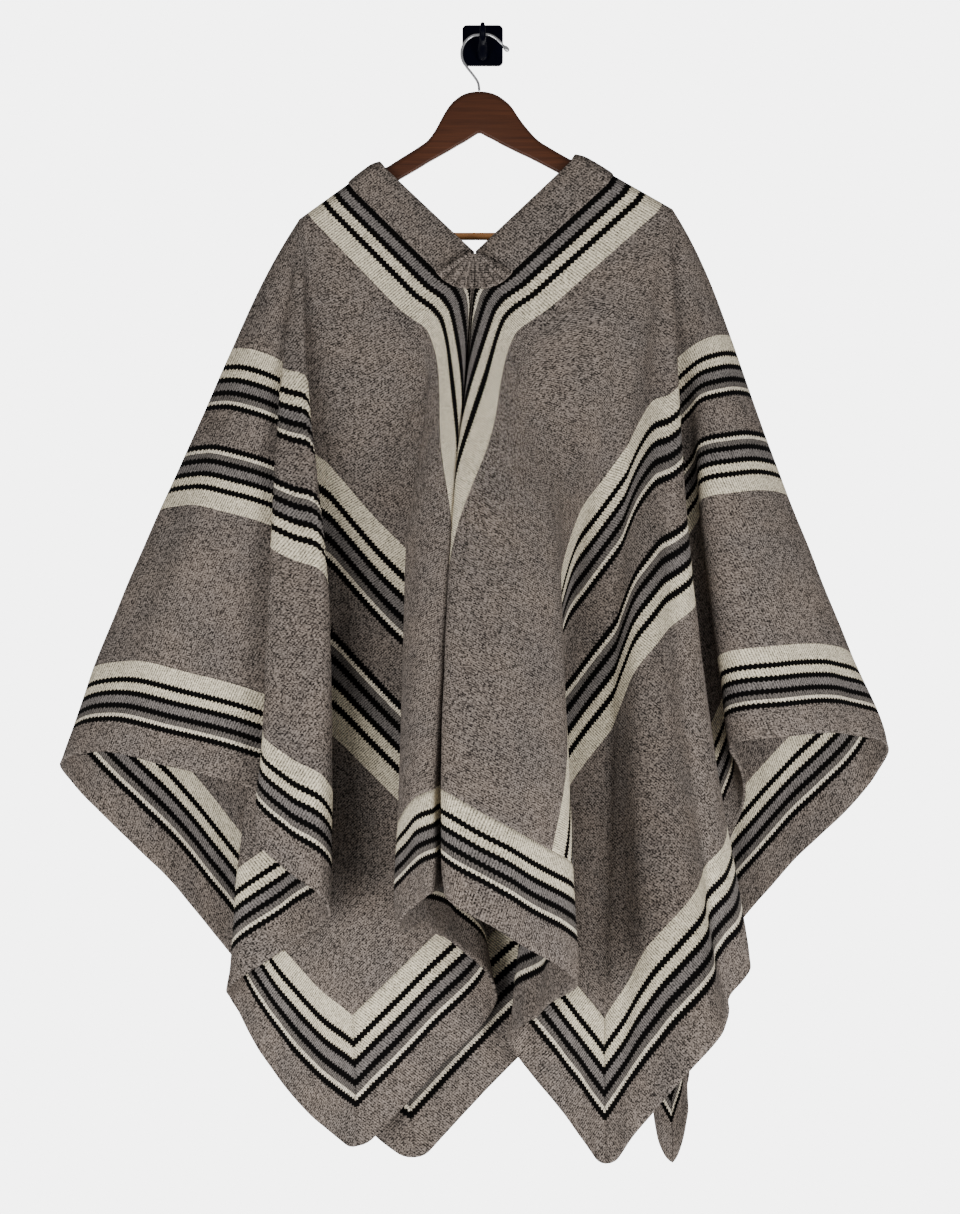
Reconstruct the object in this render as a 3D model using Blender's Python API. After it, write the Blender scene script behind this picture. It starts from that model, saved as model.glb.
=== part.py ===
"""Andean poncho hung on a wooden hanger from a small wall hook.

Frame: metres, +Z up, +X to the viewer's right, -Y towards the viewer.  The
wall is the plane Y = 0 and the origin is the middle of the hook plate's back.

The cloth is two woven lengths, left and right, each running from the front
hem over the shoulder to the back hem.  They are joined by a centre seam with
a neck slit in it.  A place on a length has flat coordinates in millimetres:
u, the distance from the centre seam, and v, the distance from the shoulder
fold, positive on the front and negative on the back.

Near the neck the length lies on the hanger as a yoke.  From the yoke's outer
line straight ribs run to the garment's edge, one for each fold, and a smooth
curve through the ribs at each level gives the hanging cloth.
"""
import math

import bmesh
import bpy
import numpy as np
from mathutils import Vector
from mathutils.bvhtree import BVHTree
from mathutils.geometry import delaunay_2d_cdt

MM = 0.001

# ---- the cut of the cloth, mm --------------------------------------------
HALF_WIDTH = 806        # centre seam to wrist edge
LENGTH = 900            # shoulder fold to hem
BORDER = 118            # striped border along wrist edge and hem
YOKE = 106              # centre seam to the hanger's tip
SLIT = 170              # shoulder fold to the end of the neck slit
WALL = 3.0              # thickness of the woollen cloth
SEAM_GAP = 0.3          # between pieces that are sewn together

# ---- collar and fan, mm ---------------------------------------------------
COLLAR_WIDTH = 33       # of the band, outside the cut edge of the slit
COLLAR_FOLD = 14        # the folded edge stands this far inside the neck
COLLAR_BACK = 6         # the band's ends stop this far short of the slit's end
FAN_RADIUS = 43
FAN_SPREAD = 60         # degrees each side of straight down
FAN_PLEATS = 10
FAN_PLEAT_DEPTH = 1.5
FAN_WALL = 2.0

# ---- hanger and hook, mm ----------------------------------------------------
HANG_DEPTH = 45         # hanger's middle plane, from the wall
FOLD_RADIUS = 12        # the cloth's middle over the hanger's arm
ARM_HALF = 6.6          # half thickness of the arm where it is bare
ARM_HALF_SHOULDER = 9.8
ARM_DROP = 26           # depth of the arm below its top, under the cloth
SOCKET_LENGTH = 20      # of the deeper tip that holds the trouser bar
TIP_BACK = 9            # the arm ends this far inside the yoke's outer line
BAR_HEIGHT = -239
BAR_RADIUS = 4.6
WIRE_RADIUS = 1.6
PLATE = 50
PLATE_DEPTH = 6
PLATE_CORNER = 6

# Neck corner and hanger tip on the shoulder line, as (x, z)
SHOULDER = {
    "left": ((-135, -157), (-221, -219)),
    "right": ((125, -148), (229, -207)),
}
# Lower line of the yoke: end of the slit and outer corner, as (x, depth, z);
# 1 is the front and -1 the back
YOKE_FOOT = {
    ("left", 1): ((-10, 80, -282), (-93, 92, -357)),
    ("right", 1): ((-10, 80, -282), (69, 92, -357)),
    ("left", -1): ((-10, 22, -275), (-95, 18, -350)),
    ("right", -1): ((-10, 22, -275), (70, 18, -350)),
}

# One row for each fold, from the back's centre seam round the sleeve to the
# front's.  start: distance along the yoke's outer line from the shoulder.
# edge: distance along the garment's edge from the sleeve's top (the corner is
# at 900).  x, depth, z: where the fold meets that edge.  out, fore, rise: how
# far the fold bows to the right, to the viewer and up half-way along it.
LEFT_FOLDS = [
    # name           start   edge     x  depth     z  out  fore  rise
    ("back seam",       -276, -1706, -152,   31,  -991,  25,   -4,    0),
    ("back layer 2",    -226, -1500,  -27,   42, -1055,   0,    3,    0),
    ("back layer 1",    -170, -1320,   98,   51, -1106, -12,   22,    0),
    ("back fold 1",     -142, -1243,  152,   57, -1124, -12,   23,    0),
    ("back hem end",    -135, -1223,  150,   70, -1130, -14,   23,    0),
    ("back hem",         -80, -1071,   40,   76, -1235,  -5,    8,    0),
    ("back corner",      -40,  -900,  -80,   68, -1355,   0,    5,    0),
    ("back side",        -25,  -845, -130,   56, -1330,   0,    0,    0),
    ("back pleat 2",     -19,  -630, -222,   40, -1155,   0,    0,    0),
    ("back pleat 1",     -15,  -500, -236,   18, -1200,   0,    0,    0),
    ("back sleeve 2",    -11,  -345, -290,   18, -1125,   0,    0,    0),
    ("back sleeve 1",     -8,  -195, -385,   20, -1010,   0,    0,    0),
    ("sleeve under",      -4,   -45, -495,   30,  -900,   0,    0,    0),
    ("sleeve top",         0,     0, -510,   62,  -875, -10,    0,    0),
    ("sleeve roll",        4,    60, -460,  112,  -860,  -5,   10,    0),
    ("sleeve middle",      8,   150, -375,  140,  -875,   0,   10,    0),
    ("sleeve end",        11,   240, -280,  144,  -900,   0,    0,    0),
    ("side valley",       12,   262, -254,  136,  -910,   0,    0,    0),
    ("side valley 2",     13,   282, -244,  146,  -925,   0,    0,    0),
    ("side pleat edge",   14,   340, -262,  190,  -960, -10,    0,    0),
    ("side pleat",        15,   385, -225,  205,  -995,   0,    5,    0),
    ("side ridge",        16,   428, -186,  216, -1022,  10,   10,    0),
    ("side ridge 2",      17,   440, -178,  207, -1032,  10,   10,    0),
    ("side return",       18,   532, -230,  126, -1090,   0,    0,    0),
    ("side tip",          19,   612, -300,  108, -1140,   0,    0,    0),
    ("side tip under",    20,   632, -298,   88, -1150,   0,    0,    0),
    ("lower side",        22,   720, -250,   98, -1225,   0,    0,    0),
    ("lower corner",      30,   810, -195,  110, -1285,   0,    0,    0),
    ("corner",            40,   900, -145,  118, -1325,   0,    0,    0),
    ("hem",               80,  1020,  -60,  112, -1245,   0,    0,    0),
    ("hem tip",          130,  1140,   15,  104, -1155,   0,    0,    0),
    ("hem return",       172,  1240,  -29,  165, -1085,   0,    0,    0),
    ("roll",             205,  1395,  -95,  280, -1045,  -5,    0,    0),
    ("roll front",       222,  1435,  -75,  300, -1020,  -5,    0,    0),
    ("lip",              240,  1475,  -57,  298, -1010,   0,    0,    0),
    ("lip side",         243,  1491,  -53,  284, -1008,   0,    0,    0),
    ("pleat wall",       253,  1566,  -26,  215, -1005, -10,    0,    0),
    ("pleat floor",      268,  1664,   10,  130, -1005, -20,    0,    0),
    ("seam",             276,  1706,   25,   98, -1005, -24,    0,    0),
]
RIGHT_FOLDS = [
    # name           start   edge     x  depth     z  out  fore  rise
    ("back seam",       -276, -1706, -152,   31,  -991,  25,   -4,    0),
    ("back fold",       -273, -1690, -146,   17,  -994,  25,   -6,    0),
    ("back wave 5",     -262, -1600,  -85,   14, -1014,  20,   -3,    0),
    ("back wave 4",     -250, -1510,  -30,   27, -1042,  12,   -3,    0),
    ("back wave 3",     -235, -1420,   25,   12, -1070,   5,    0,    0),
    ("back wave 2",     -218, -1330,   75,   26, -1105,   0,    0,    0),
    ("back wave 1",     -195, -1240,  120,   14, -1150,   0,    0,    0),
    ("back hem 2",      -160, -1150,  165,   32, -1203,   0,    0,    0),
    ("back hem 1",      -110, -1060,  190,   38, -1250,   0,    0,    0),
    ("tail inside",      -70,  -975,  208,   46, -1298,   0,    0,    0),
    ("back corner",      -40,  -900,  230,   52, -1365,   0,    0,    0),
    ("tail outside",     -30,  -810,  255,   50, -1275,   0,    0,    0),
    ("back pleat 2",     -20,  -600,  276,   44, -1140,   0,    0,    0),
    ("back pleat 1",     -15,  -460,  270,   20, -1150,   0,    0,    0),
    ("back sleeve 2",    -11,  -265,  315,   16, -1065,   0,    0,    0),
    ("back sleeve 1",     -8,  -170,  380,   20, -1000,   0,    0,    0),
    ("sleeve under",      -4,   -40,  475,   30,  -900,   0,    0,    0),
    ("sleeve top",         0,     0,  490,   62,  -860,   0,    0,    0),
    ("sleeve roll",        4,    65,  445,  108,  -840,   0,   10,    0),
    ("sleeve middle",      8,   150,  370,  138,  -840,   0,   10,    0),
    ("sleeve end",        11,   225,  290,  130,  -855,   0,    0,    0),
    ("side return",       13,   275,  320,   98,  -890,   0,    0,    0),
    ("side valley",       14,   390,  290,   75,  -995,   0,    0,    0),
    ("side ridge",        17,   590,  306,  243, -1092, -20,    0,    0),
    ("side ridge 2",      18,   603,  297,  251, -1100, -20,    0,    0),
    ("side front",        20,   690,  272,  236, -1165, -10,    0,    0),
    ("lower side",        25,   790,  205,  190, -1265,   0,    0,   25),
    ("corner",            40,   900,  145,  150, -1345,   0,    0,   40),
    ("hem",               55,  1000,   90,  130, -1280,   0,    0,   35),
    ("hem tip",           75,  1085,   35,  115, -1210,   0,    0,   25),
    ("hem return",       130,  1190,   65,  200, -1160,   0,    0,   25),
    ("ridge",            190,  1340,  105,  295, -1110,  10,    0,    0),
    ("ridge front",      215,  1415,   40,  305, -1065,   0,    0,    0),
    ("lip",              240,  1498,  -46,  301, -1010, -15,    0,    0),
    ("lip side",         242,  1511,  -45,  288, -1008, -15,    0,    0),
    ("pleat wall",       253,  1594,   -5,  215, -1005, -12,    0,    0),
    ("pleat floor",      268,  1682,   29,  130, -1005, -20,    0,    0),
    ("seam",             276,  1706,   25,   98, -1005, -24,    0,    0),
]
FOLDS = {"left": LEFT_FOLDS, "right": RIGHT_FOLDS}
WAKE_FRONT = (0.35, 0.35, 0.35)   # shares of a rib over which its fold comes up
WAKE_SIDE = (0.6, 0.35, 0.6)      # the same at the sides: across, in depth, down
WAKE_BACK = (0.5, 0.3, 0.5)      # and at the back
EVEN_SPREAD = 130       # mm of edge over which the cloth is even at the top
LEAD_SHARE = 0.4        # share of a rib that still leans the way of the yoke
LEAD_AMOUNT = 0.6

# Levels along the ribs: 0 yoke, 1 inner line of the border, 2 garment's edge
LEVELS = (0, 0.09, 0.19, 0.30, 0.43, 0.57, 0.71, 0.85, 1, 1.5, 2)
EDGE_STEP = 44          # mm between columns along the garment's edge
THIN_STEPS = ((0.25, 15), (1, 6))   # up to a level, columns keep this far apart
NECK_STEP = 4           # and this far where the cloth bends over the hanger
YOKE_ACROSS = (0, 17, 34, 51, 68, 87)
YOKE_DOWN = (0, 5, 10, 15, 19, 40, 70, 100, 130, 150)

# Bare middle of the wooden hanger, as sections of it
HANGER_BARE = [
    # x      top   bottom
    (-115, -154.5, -178.5),
    (-97,  -143.0, -168.0),
    (-78,  -131.0, -157.0),
    (-65,  -121.0, -149.0),
    (-56,  -108.0, -144.0),
    (-48,   -93.0, -139.5),
    (-40,   -80.5, -135.0),
    (-30,   -71.0, -129.0),
    (-21,   -66.0, -124.0),
    (-13,   -64.0, -119.0),
    (-4,    -63.3, -114.0),
    (5,     -64.0, -118.0),
    (13,    -66.0, -122.0),
    (24,    -72.0, -128.0),
    (35,    -82.0, -133.5),
    (44,    -95.5, -138.0),
    (54,   -108.5, -142.5),
    (65,   -120.5, -148.0),
    (83,   -132.5, -157.5),
    (103,  -144.0, -168.0),
]
# Hook wire's middle line, from the hanger up and round the prong, with the
# wire's thickness as a share of its own where it ends in a knob
WIRE = [
    # x       z    share
    (-4,   -62.7,  1.0),
    (-5.5, -53.0,  1.0),
    (-11.5, -43.5, 1.0),
    (-19,  -34.0,  1.0),
    (-24,  -26.0,  1.0),
    (-25.6, -17.5, 1.0),
    (-23.8, -8.3,  1.0),
    (-19,   -1.0,  1.0),
    (-12,    3.9,  1.0),
    (-4,     5.1,  1.0),
    (8,      5.1,  1.0),
    (14.6,   2.0,  1.0),
    (21,    -3.4,  1.0),
    (25.5,  -8.3,  1.0),
    (27.2, -10.1,  1.7),
    (29.0, -12.0,  1.9),
    (30.8, -13.9,  1.5),
    (31.6, -14.8,  0.7),
]
# Prong's middle line, out from the plate and up at its end
PRONG = [
    # depth    z  radius
    (3,    -13.0, 8.5),
    (16,   -11.0, 7.5),
    (27,    -7.0, 6.0),
    (38,    -2.2, 4.6),
    (45,    -0.9, 4.0),
    (52,     1.5, 4.0),
    (56.5,   7.0, 3.6),
    (57.5,  13.0, 3.2),
    (57.5,  16.5, 2.4),
]


# ---------------------------------------------------------------------------
# The hanging cloth
# ---------------------------------------------------------------------------
def unit(vectors):
    length = np.linalg.norm(vectors, axis=-1, keepdims=True)
    return vectors / np.maximum(length, 1e-9)


def curve_through(keys, values, at):
    """Smooth curve through rows of values at increasing keys."""
    keys = np.asarray(keys, float)
    step = np.diff(keys)[:, None]
    slope = np.diff(values, axis=0) / step
    tangent = np.empty_like(values)
    tangent[0], tangent[-1] = slope[0], slope[-1]
    weighed = slope[:-1] * step[1:] + slope[1:] * step[:-1]
    tangent[1:-1] = weighed / (step[1:] + step[:-1])
    i = np.clip(np.searchsorted(keys, at, side="right") - 1, 0, len(keys) - 2)
    q = (at - keys[i])[:, None] / step[i]
    ends = values[i] * (2 * q**3 - 3 * q**2 + 1) + values[i + 1] * (3 * q**2 - 2 * q**3)
    pulls = tangent[i] * (q**3 - 2 * q**2 + q) + tangent[i + 1] * (q**3 - q**2)
    return ends + pulls * step[i]


def start_flat(start):
    """Flat place of a point on the yoke's outer line."""
    far = np.abs(start)
    u = np.where(far <= SLIT, YOKE, YOKE + SLIT - far)
    return np.stack([u, np.sign(start) * np.minimum(far, SLIT)], -1).astype(float)


def edge_flat(edge):
    """Flat place of a point on the garment's edge."""
    far = np.abs(edge)
    u = np.where(far <= LENGTH, HALF_WIDTH, HALF_WIDTH + LENGTH - far)
    return np.stack([u, np.sign(edge) * np.minimum(far, LENGTH)], -1).astype(float)


def yoke_point(side, u, v):
    """Where flat (u, v) on the yoke lies."""
    neck, tip = [np.array((x, -HANG_DEPTH, z), float) for x, z in SHOULDER[side]]
    along = unit(tip - neck)
    up = np.array((-along[2], 0, along[0])) * (1 if along[0] > 0 else -1)
    face = 1 if v >= 0 else -1
    forward = np.array((0.0, -face, 0.0))
    axis = neck + (tip - neck) * u / YOKE - up * FOLD_RADIUS
    quarter = FOLD_RADIUS * math.pi / 2
    turn = min(abs(v) / quarter, 1) * math.pi / 2
    arc = FOLD_RADIUS * (math.sin(turn) * forward + math.cos(turn) * up)
    slit, outer = [np.array((x, -d, z), float) for x, d, z in YOKE_FOOT[side, face]]
    foot = slit + (outer - slit) * u / YOKE
    down = max(abs(v) - quarter, 0) / (SLIT - quarter)
    return axis + arc + (foot - axis - FOLD_RADIUS * forward) * down


class Side:
    """The drape of the left or the right length of cloth."""

    def __init__(self, side):
        self.side = side
        rows = FOLDS[side]
        self.start = np.array([row[1] for row in rows], float)
        self.edge = np.array([row[2] for row in rows], float)
        self.foot = np.array([(row[3], -row[4], row[5]) for row in rows], float)
        self.bow = np.array([(row[6], -row[7], row[8]) for row in rows], float)
        side_or_front = [WAKE_FRONT if a > 40 else WAKE_SIDE for a in self.start]
        self.wake = np.array([WAKE_BACK if a < -4 else w
                              for a, w in zip(self.start, side_or_front)])
        flat = start_flat(self.start)
        self.top = np.array([yoke_point(side, u, v) for u, v in flat])
        apart = (self.edge[:, None] - self.edge[None]) / EVEN_SPREAD
        weight = np.exp(-0.5 * apart**2)
        self.even = weight @ self.foot / weight.sum(1, keepdims=True)
        self.even[[0, -1]] = self.foot[[0, -1]]
        self.lead = np.array([self.yoke_lead(i, u, v) for i, (u, v) in enumerate(flat)])

    def yoke_lead(self, i, u, v):
        """How far a rib would lean if it went on in the yoke's plane."""
        face = 1 if v >= 0 else -1
        below = yoke_point(self.side, u, face * SLIT)
        above = yoke_point(self.side, u, face * 60)
        length = np.linalg.norm(self.foot[i] - self.top[i])
        keep = min(max((abs(v) - 60) / (SLIT - 60), 0), 1) * u / YOKE
        on = unit(below - above) * length - (self.even[i] - self.top[i])
        return LEAD_AMOUNT * keep * on

    def ribs(self, share):
        """Points of all the ribs at the given share of each one's length."""
        t = np.broadcast_to(share, self.start.shape)[:, None]
        k = np.clip(t / self.wake, 0, 1)
        foot = self.even + (self.foot - self.even) * k * k * (3 - 2 * k)
        lean = self.lead * t * np.clip(1 - t / LEAD_SHARE, 0, 1)**2
        return self.top + (foot - self.top) * t + self.bow * 4 * t * (1 - t) + lean

    def flat_lines(self, edge):
        """Flat start, border point and end of the ribs, and the border's share."""
        start = start_flat(np.interp(edge, self.edge, self.start))
        end = edge_flat(edge)
        inner = end * np.array([1 - BORDER / HALF_WIDTH, 1 - BORDER / LENGTH])
        a = np.linalg.norm(inner - start, axis=-1)
        b = np.linalg.norm(end - inner, axis=-1)
        return start, inner, end, a / (a + b)

    def row(self, level, edge):
        """Flat places and points of one level, at distances along the edge."""
        start, inner, end, _ = self.flat_lines(edge)
        border = self.flat_lines(self.edge)[3]
        first, second = min(level, 1), max(level - 1, 0)
        flat = start + (inner - start) * first + (end - inner) * second
        ribs = self.ribs(border * first + (1 - border) * second)
        corners = [int(np.searchsorted(self.edge, c)) for c in (-LENGTH, LENGTH)]
        cuts = [0] + corners + [len(self.edge) - 1]
        points = np.empty((len(edge), 3))
        for low, high in zip(cuts, cuts[1:]):
            keys = self.edge[low:high + 1]
            here = (edge >= keys[0]) & (edge <= keys[-1])
            points[here] = curve_through(keys, ribs[low:high + 1], edge[here])
        return flat, points


class Sheet:
    """A whole length: its points flat and hung, and triangles between them."""

    def __init__(self, side):
        self.side = side
        self.cloth = Side(side)
        self.flat, self.points, self.index, self.lines = [], [], {}, []
        self.hang()
        self.lay_yoke()
        self.triangulate()
        self.face_out()

    def add(self, key, flat, point):
        self.index[key] = len(self.flat)
        self.flat.append(flat)
        self.points.append(point)
        return self.index[key]

    def columns(self):
        """Distances along the edge: every fold, and steps between them."""
        edge = []
        for a, b in zip(self.cloth.edge, self.cloth.edge[1:]):
            steps = max(1, round((b - a) / EDGE_STEP))
            edge += [a + (b - a) * k / steps for k in range(steps)]
        return np.array(edge + [self.cloth.edge[-1]])

    def kept_columns(self, flat, must, level):
        """Columns of one level, without those that crowd together."""
        steps = [step for top, step in THIN_STEPS if level < top]
        kept = []
        for c in range(len(flat)):
            step = steps[0] if steps else 0
            if level == 0 and abs(flat[c][1]) < 2 * FOLD_RADIUS:
                step = NECK_STEP
            near = kept and math.dist(flat[c], flat[kept[-1]]) < step
            ahead = [m for m in must if m > c]
            close = ahead and math.dist(flat[c], flat[ahead[0]]) < step
            if c in must or not (near or close):
                kept.append(c)
        return kept

    def hang(self):
        edge = self.columns()
        turns = [int(np.argmin(abs(edge - c))) for c in (-LENGTH, 0, LENGTH)]
        must = [0] + turns + [len(edge) - 1]
        self.corner_columns, self.last_column = (turns[0], turns[2]), must[-1]
        above = {}
        self.columns_at = {}
        for level in LEVELS:
            flat, points = self.cloth.row(level, edge)
            kept = self.kept_columns(flat, must, level)
            here = {c: self.add((level, c), flat[c], points[c]) for c in kept}
            self.lines += [(here[a], here[b]) for a, b in zip(kept, kept[1:])]
            self.lines += [(above[c], here[c]) for c in kept if c in above]
            self.columns_at[level] = kept
            above = here

    def lay_yoke(self):
        """Points of the yoke inside its outer line, and the slit's edge."""
        down = sorted({sign * v for v in YOKE_DOWN for sign in (-1, 1)})
        for u in YOKE_ACROSS:
            for v in down:
                self.add(("yoke", u, v), np.array((u, v), float), yoke_point(self.side, u, v))
        self.slit = [self.index["yoke", 0, v] for v in down]

    def triangulate(self):
        back = [self.index[level, 0] for level in LEVELS]
        rim = [self.index[2, c] for c in self.columns_at[2]]
        front = [self.index[level, self.last_column] for level in LEVELS]
        loop = back + rim[1:-1] + front[::-1] + self.slit[::-1]
        flat = [Vector(p) for p in self.flat]
        result = delaunay_2d_cdt(flat, self.lines, [loop], 1, 1e-4)
        origin = [ids[0] for ids in result[3]]
        self.faces = np.array([[origin[i] for i in face] for face in result[2]])
        self.flat = np.array(self.flat)
        self.points = np.array(self.points)

    def face_out(self):
        """Turn the triangles outwards and sum their normals at each point."""
        a, b, c = (self.flat[self.faces[:, k]] for k in range(3))
        first, second = b - a, c - a
        turn = first[:, 0] * second[:, 1] - first[:, 1] * second[:, 0]
        wrong = turn < 0 if self.side == "left" else turn > 0
        self.faces[wrong] = self.faces[wrong][:, ::-1]
        a, b, c = (self.points[self.faces[:, k]] for k in range(3))
        self.face_area = np.cross(b - a, c - a)
        self.normals = np.zeros_like(self.points)
        for k in range(3):
            np.add.at(self.normals, self.faces[:, k], self.face_area)
        self.normals = unit(self.normals)

    def seam_keys(self):
        """Keys of the points on the centre seam, and of those beside them."""
        back = [((level, 0), (level, self.columns_at[level][1])) for level in LEVELS]
        return back + [((level, self.last_column), (level, self.columns_at[level][-2]))
                       for level in LEVELS]

    def even_wall(self):
        """Stretch each normal so that the wall keeps its thickness at folds."""
        area = np.linalg.norm(self.face_area, axis=1)
        total = np.zeros(len(self.points))
        facing = np.zeros(len(self.points))
        direction = unit(self.face_area)
        for k in range(3):
            ids = self.faces[:, k]
            np.add.at(total, ids, area)
            np.add.at(facing, ids, area * np.sum(direction * self.normals[ids], axis=1))
        share = facing / np.maximum(total, 1e-9)
        self.normals = self.normals / np.clip(share, 0.4, 1)[:, None]

    def part_of(self, face):
        """Which cut piece a triangle belongs to."""
        u, v = self.flat[face].mean(0)
        past_hem = abs(v) - (LENGTH - BORDER)
        if past_hem > 0 and past_hem > u - (HALF_WIDTH - BORDER):
            return "hem_front" if v > 0 else "hem_back"
        return "body"

    def seam_lines(self):
        """Direction of the sewn seam at each point on one, None at its turn."""
        seam = {}
        for corner in self.corner_columns:
            hem = [c for c in self.columns_at[1] if c <= corner or corner > self.last_column / 2]
            hem = [c for c in hem if c >= corner or corner < self.last_column / 2]
            chains = [[self.index[1, c] for c in hem]]
            chains.append([self.index[level, corner] for level in LEVELS if level >= 1])
            for chain in chains:
                for k, i in enumerate(chain):
                    before, after = chain[max(k - 1, 0)], chain[min(k + 1, len(chain) - 1)]
                    seam[i] = unit(self.points[after] - self.points[before])
            seam[self.index[1, corner]] = None
        return seam

    def pieces(self):
        """Points and triangles of each cut piece, drawn back from its seams."""
        labels = np.array([self.part_of(face) for face in self.faces])
        seam = self.seam_lines()
        out = {}
        for name in ("body", "hem_front", "hem_back"):
            faces = self.faces[labels == name]
            points = self.points.copy()
            middle = points[faces].mean(1)
            pull = np.zeros_like(points)
            for k in range(3):
                np.add.at(pull, faces[:, k], unit(middle - points[faces[:, k]]))
            for i, line in seam.items():
                normal = unit(self.normals[i])
                away = pull[i] - normal * (pull[i] @ normal)
                if line is not None:
                    away = away - line * (away @ line)
                points[i] = points[i] + unit(away) * SEAM_GAP * 0.6
            out[name] = (points, faces)
        return out


def meet_at_centre(sheets):
    """Give both lengths the same normal at the centre seam, and part them."""
    left, right = sheets["left"], sheets["right"]
    pairs = []
    for (a, beside_a), (b, beside_b) in zip(left.seam_keys(), right.seam_keys()):
        apart = right.points[right.index[beside_b]] - left.points[left.index[beside_a]]
        pairs.append((left.index[a], right.index[b], apart))
    column = len(LEVELS)
    shared = []
    for k, (i, j, apart) in enumerate(pairs):
        before = max(k - 1, k - k % column)
        after = min(k + 1, k - k % column + column - 1)
        tangent = left.points[pairs[after][0]] - left.points[pairs[before][0]]
        normal = unit(left.normals[i] + right.normals[j])
        across = unit(np.cross(tangent, normal))
        shared.append((i, j, normal, across * np.sign(across @ apart)))
    for i, j, normal, across in shared:
        left.normals[i] = right.normals[j] = normal
        left.points[i] -= across * SEAM_GAP * 0.6
        right.points[j] += across * SEAM_GAP * 0.6


# ---------------------------------------------------------------------------
# Objects
# ---------------------------------------------------------------------------
def collection(name):
    made = bpy.data.collections.new(name)
    bpy.context.scene.collection.children.link(made)
    return made


def material(name, colour, roughness, metallic=0.0):
    made = bpy.data.materials.new(name)
    made.use_nodes = True
    shader = made.node_tree.nodes["Principled BSDF"]
    shader.inputs["Base Color"].default_value = (*colour, 1)
    shader.inputs["Roughness"].default_value = roughness
    shader.inputs["Metallic"].default_value = metallic
    return made


def add_object(name, data, finish, home, smooth=40):
    made = bpy.data.objects.new(name, data)
    data.materials.append(finish)
    if isinstance(data, bpy.types.Mesh):
        data.shade_smooth()
        data.set_sharp_from_angle(angle=math.radians(smooth))
    home.objects.link(made)
    return made


def mesh_from(name, points, faces):
    """A mesh from points in millimetres."""
    mesh = bpy.data.meshes.new(name)
    mesh.from_pydata([tuple(float(n) * MM for n in p) for p in points], [],
                     [tuple(int(i) for i in f) for f in faces])
    return mesh


def wall_mesh(name, points, normals, faces, wall):
    """A cloth wall: a surface moved out and in, joined round its rim."""
    used = np.unique(faces)
    place = {int(i): k for k, i in enumerate(used)}
    outer = points[used] + normals[used] * wall / 2
    inner = points[used] - normals[used] * wall / 2
    count = len(used)
    shell, rim = [], set()
    for face in faces:
        a, b, c = (place[int(i)] for i in face)
        shell += [(a, b, c), (c + count, b + count, a + count)]
        for edge in ((a, b), (b, c), (c, a)):
            if edge[::-1] in rim:
                rim.remove(edge[::-1])
            else:
                rim.add(edge)
    for a, b in sorted(rim):
        if a < b:
            shell += [(b, a, b + count), (a, a + count, b + count)]
        else:
            shell += [(b, a, a + count), (b, a + count, b + count)]
    return mesh_from(name, np.concatenate([outer, inner]), shell)


def yoke_frame(side, u, v):
    """Point and outward normal of the yoke, also a little inside the slit."""
    across = yoke_point(side, u + 1, v) - yoke_point(side, u - 1, v)
    down = yoke_point(side, u, v + 0.5) - yoke_point(side, u, v - 0.5)
    normal = unit(np.cross(across, down))
    return yoke_point(side, u, v), normal if side == "left" else -normal


def loft(name, rings):
    """A closed solid through rings of equally many points, in millimetres.

    The points of a ring go along one side of it and back along the other, so
    that its end closes with a strip of faces between the two.
    """
    work = bmesh.new()
    rows = [[work.verts.new([float(n) * MM for n in p]) for p in ring] for ring in rings]
    count = len(rings[0])
    for near, far in zip(rows, rows[1:]):
        for i in range(count):
            j = (i + 1) % count
            work.faces.new((near[i], near[j], far[j], far[i]))
    for end in (rows[0], rows[-1]):
        for i in range(count // 2 - 1):
            work.faces.new((end[i], end[i + 1], end[count - 2 - i], end[count - 1 - i]))
    bmesh.ops.recalc_face_normals(work, faces=work.faces)
    mesh = bpy.data.meshes.new(name)
    work.to_mesh(mesh)
    work.free()
    return mesh


def collar_section():
    """Outline of the folded band, as (distance from the cut edge, offset)."""
    bed = WALL / 2 + SEAM_GAP
    skin = bed + WALL
    outer = [(COLLAR_WIDTH, skin), (COLLAR_WIDTH / 2, skin), (0, skin),
             (-7, skin - 1.3), (-COLLAR_FOLD + 1.5, 2.2)]
    inner = [(COLLAR_WIDTH, bed), (COLLAR_WIDTH / 2, bed), (-1.5, bed),
             (-7, 0.9), (-9.5, 0.5)]
    outside = outer + [(-COLLAR_FOLD, 0)] + [(u, -n) for u, n in outer[::-1]]
    inside = inner + [(-10.5, 0)] + [(u, -n) for u, n in inner[::-1]]
    return outside + inside[::-1]


def add_collar(side, finish, home):
    """Folded band round one side of the slit, from front V to back V."""
    front = [v for v in YOKE_DOWN if v] + [SLIT]
    stations = [-v for v in front[::-1]] + [0] + front
    rings = []
    for v in stations:
        ring = []
        for u, offset in collar_section():
            end = SLIT - 2 * SEAM_GAP + min(u, -COLLAR_BACK)
            point, normal = yoke_frame(side, u, v * end / SLIT)
            ring.append(point + normal * offset)
        rings.append(ring)
    name = f"collar_{side}"
    return add_object(name, loft(name, rings), finish, home)


def front_tree(sheets, collars):
    """Search tree of what lies under the fan, in millimetres."""
    points, faces = [], []
    for sheet in sheets.values():
        base = len(points)
        points += list(sheet.points + sheet.normals * WALL / 2)
        faces += [[int(i) + base for i in face] for face in sheet.faces]
    for made in collars:
        base = len(points)
        points += [v.co / MM for v in made.data.vertices]
        faces += [[i + base for i in f.vertices] for f in made.data.polygons]
    return BVHTree.FromPolygons([Vector(p) for p in points], faces)


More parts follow.
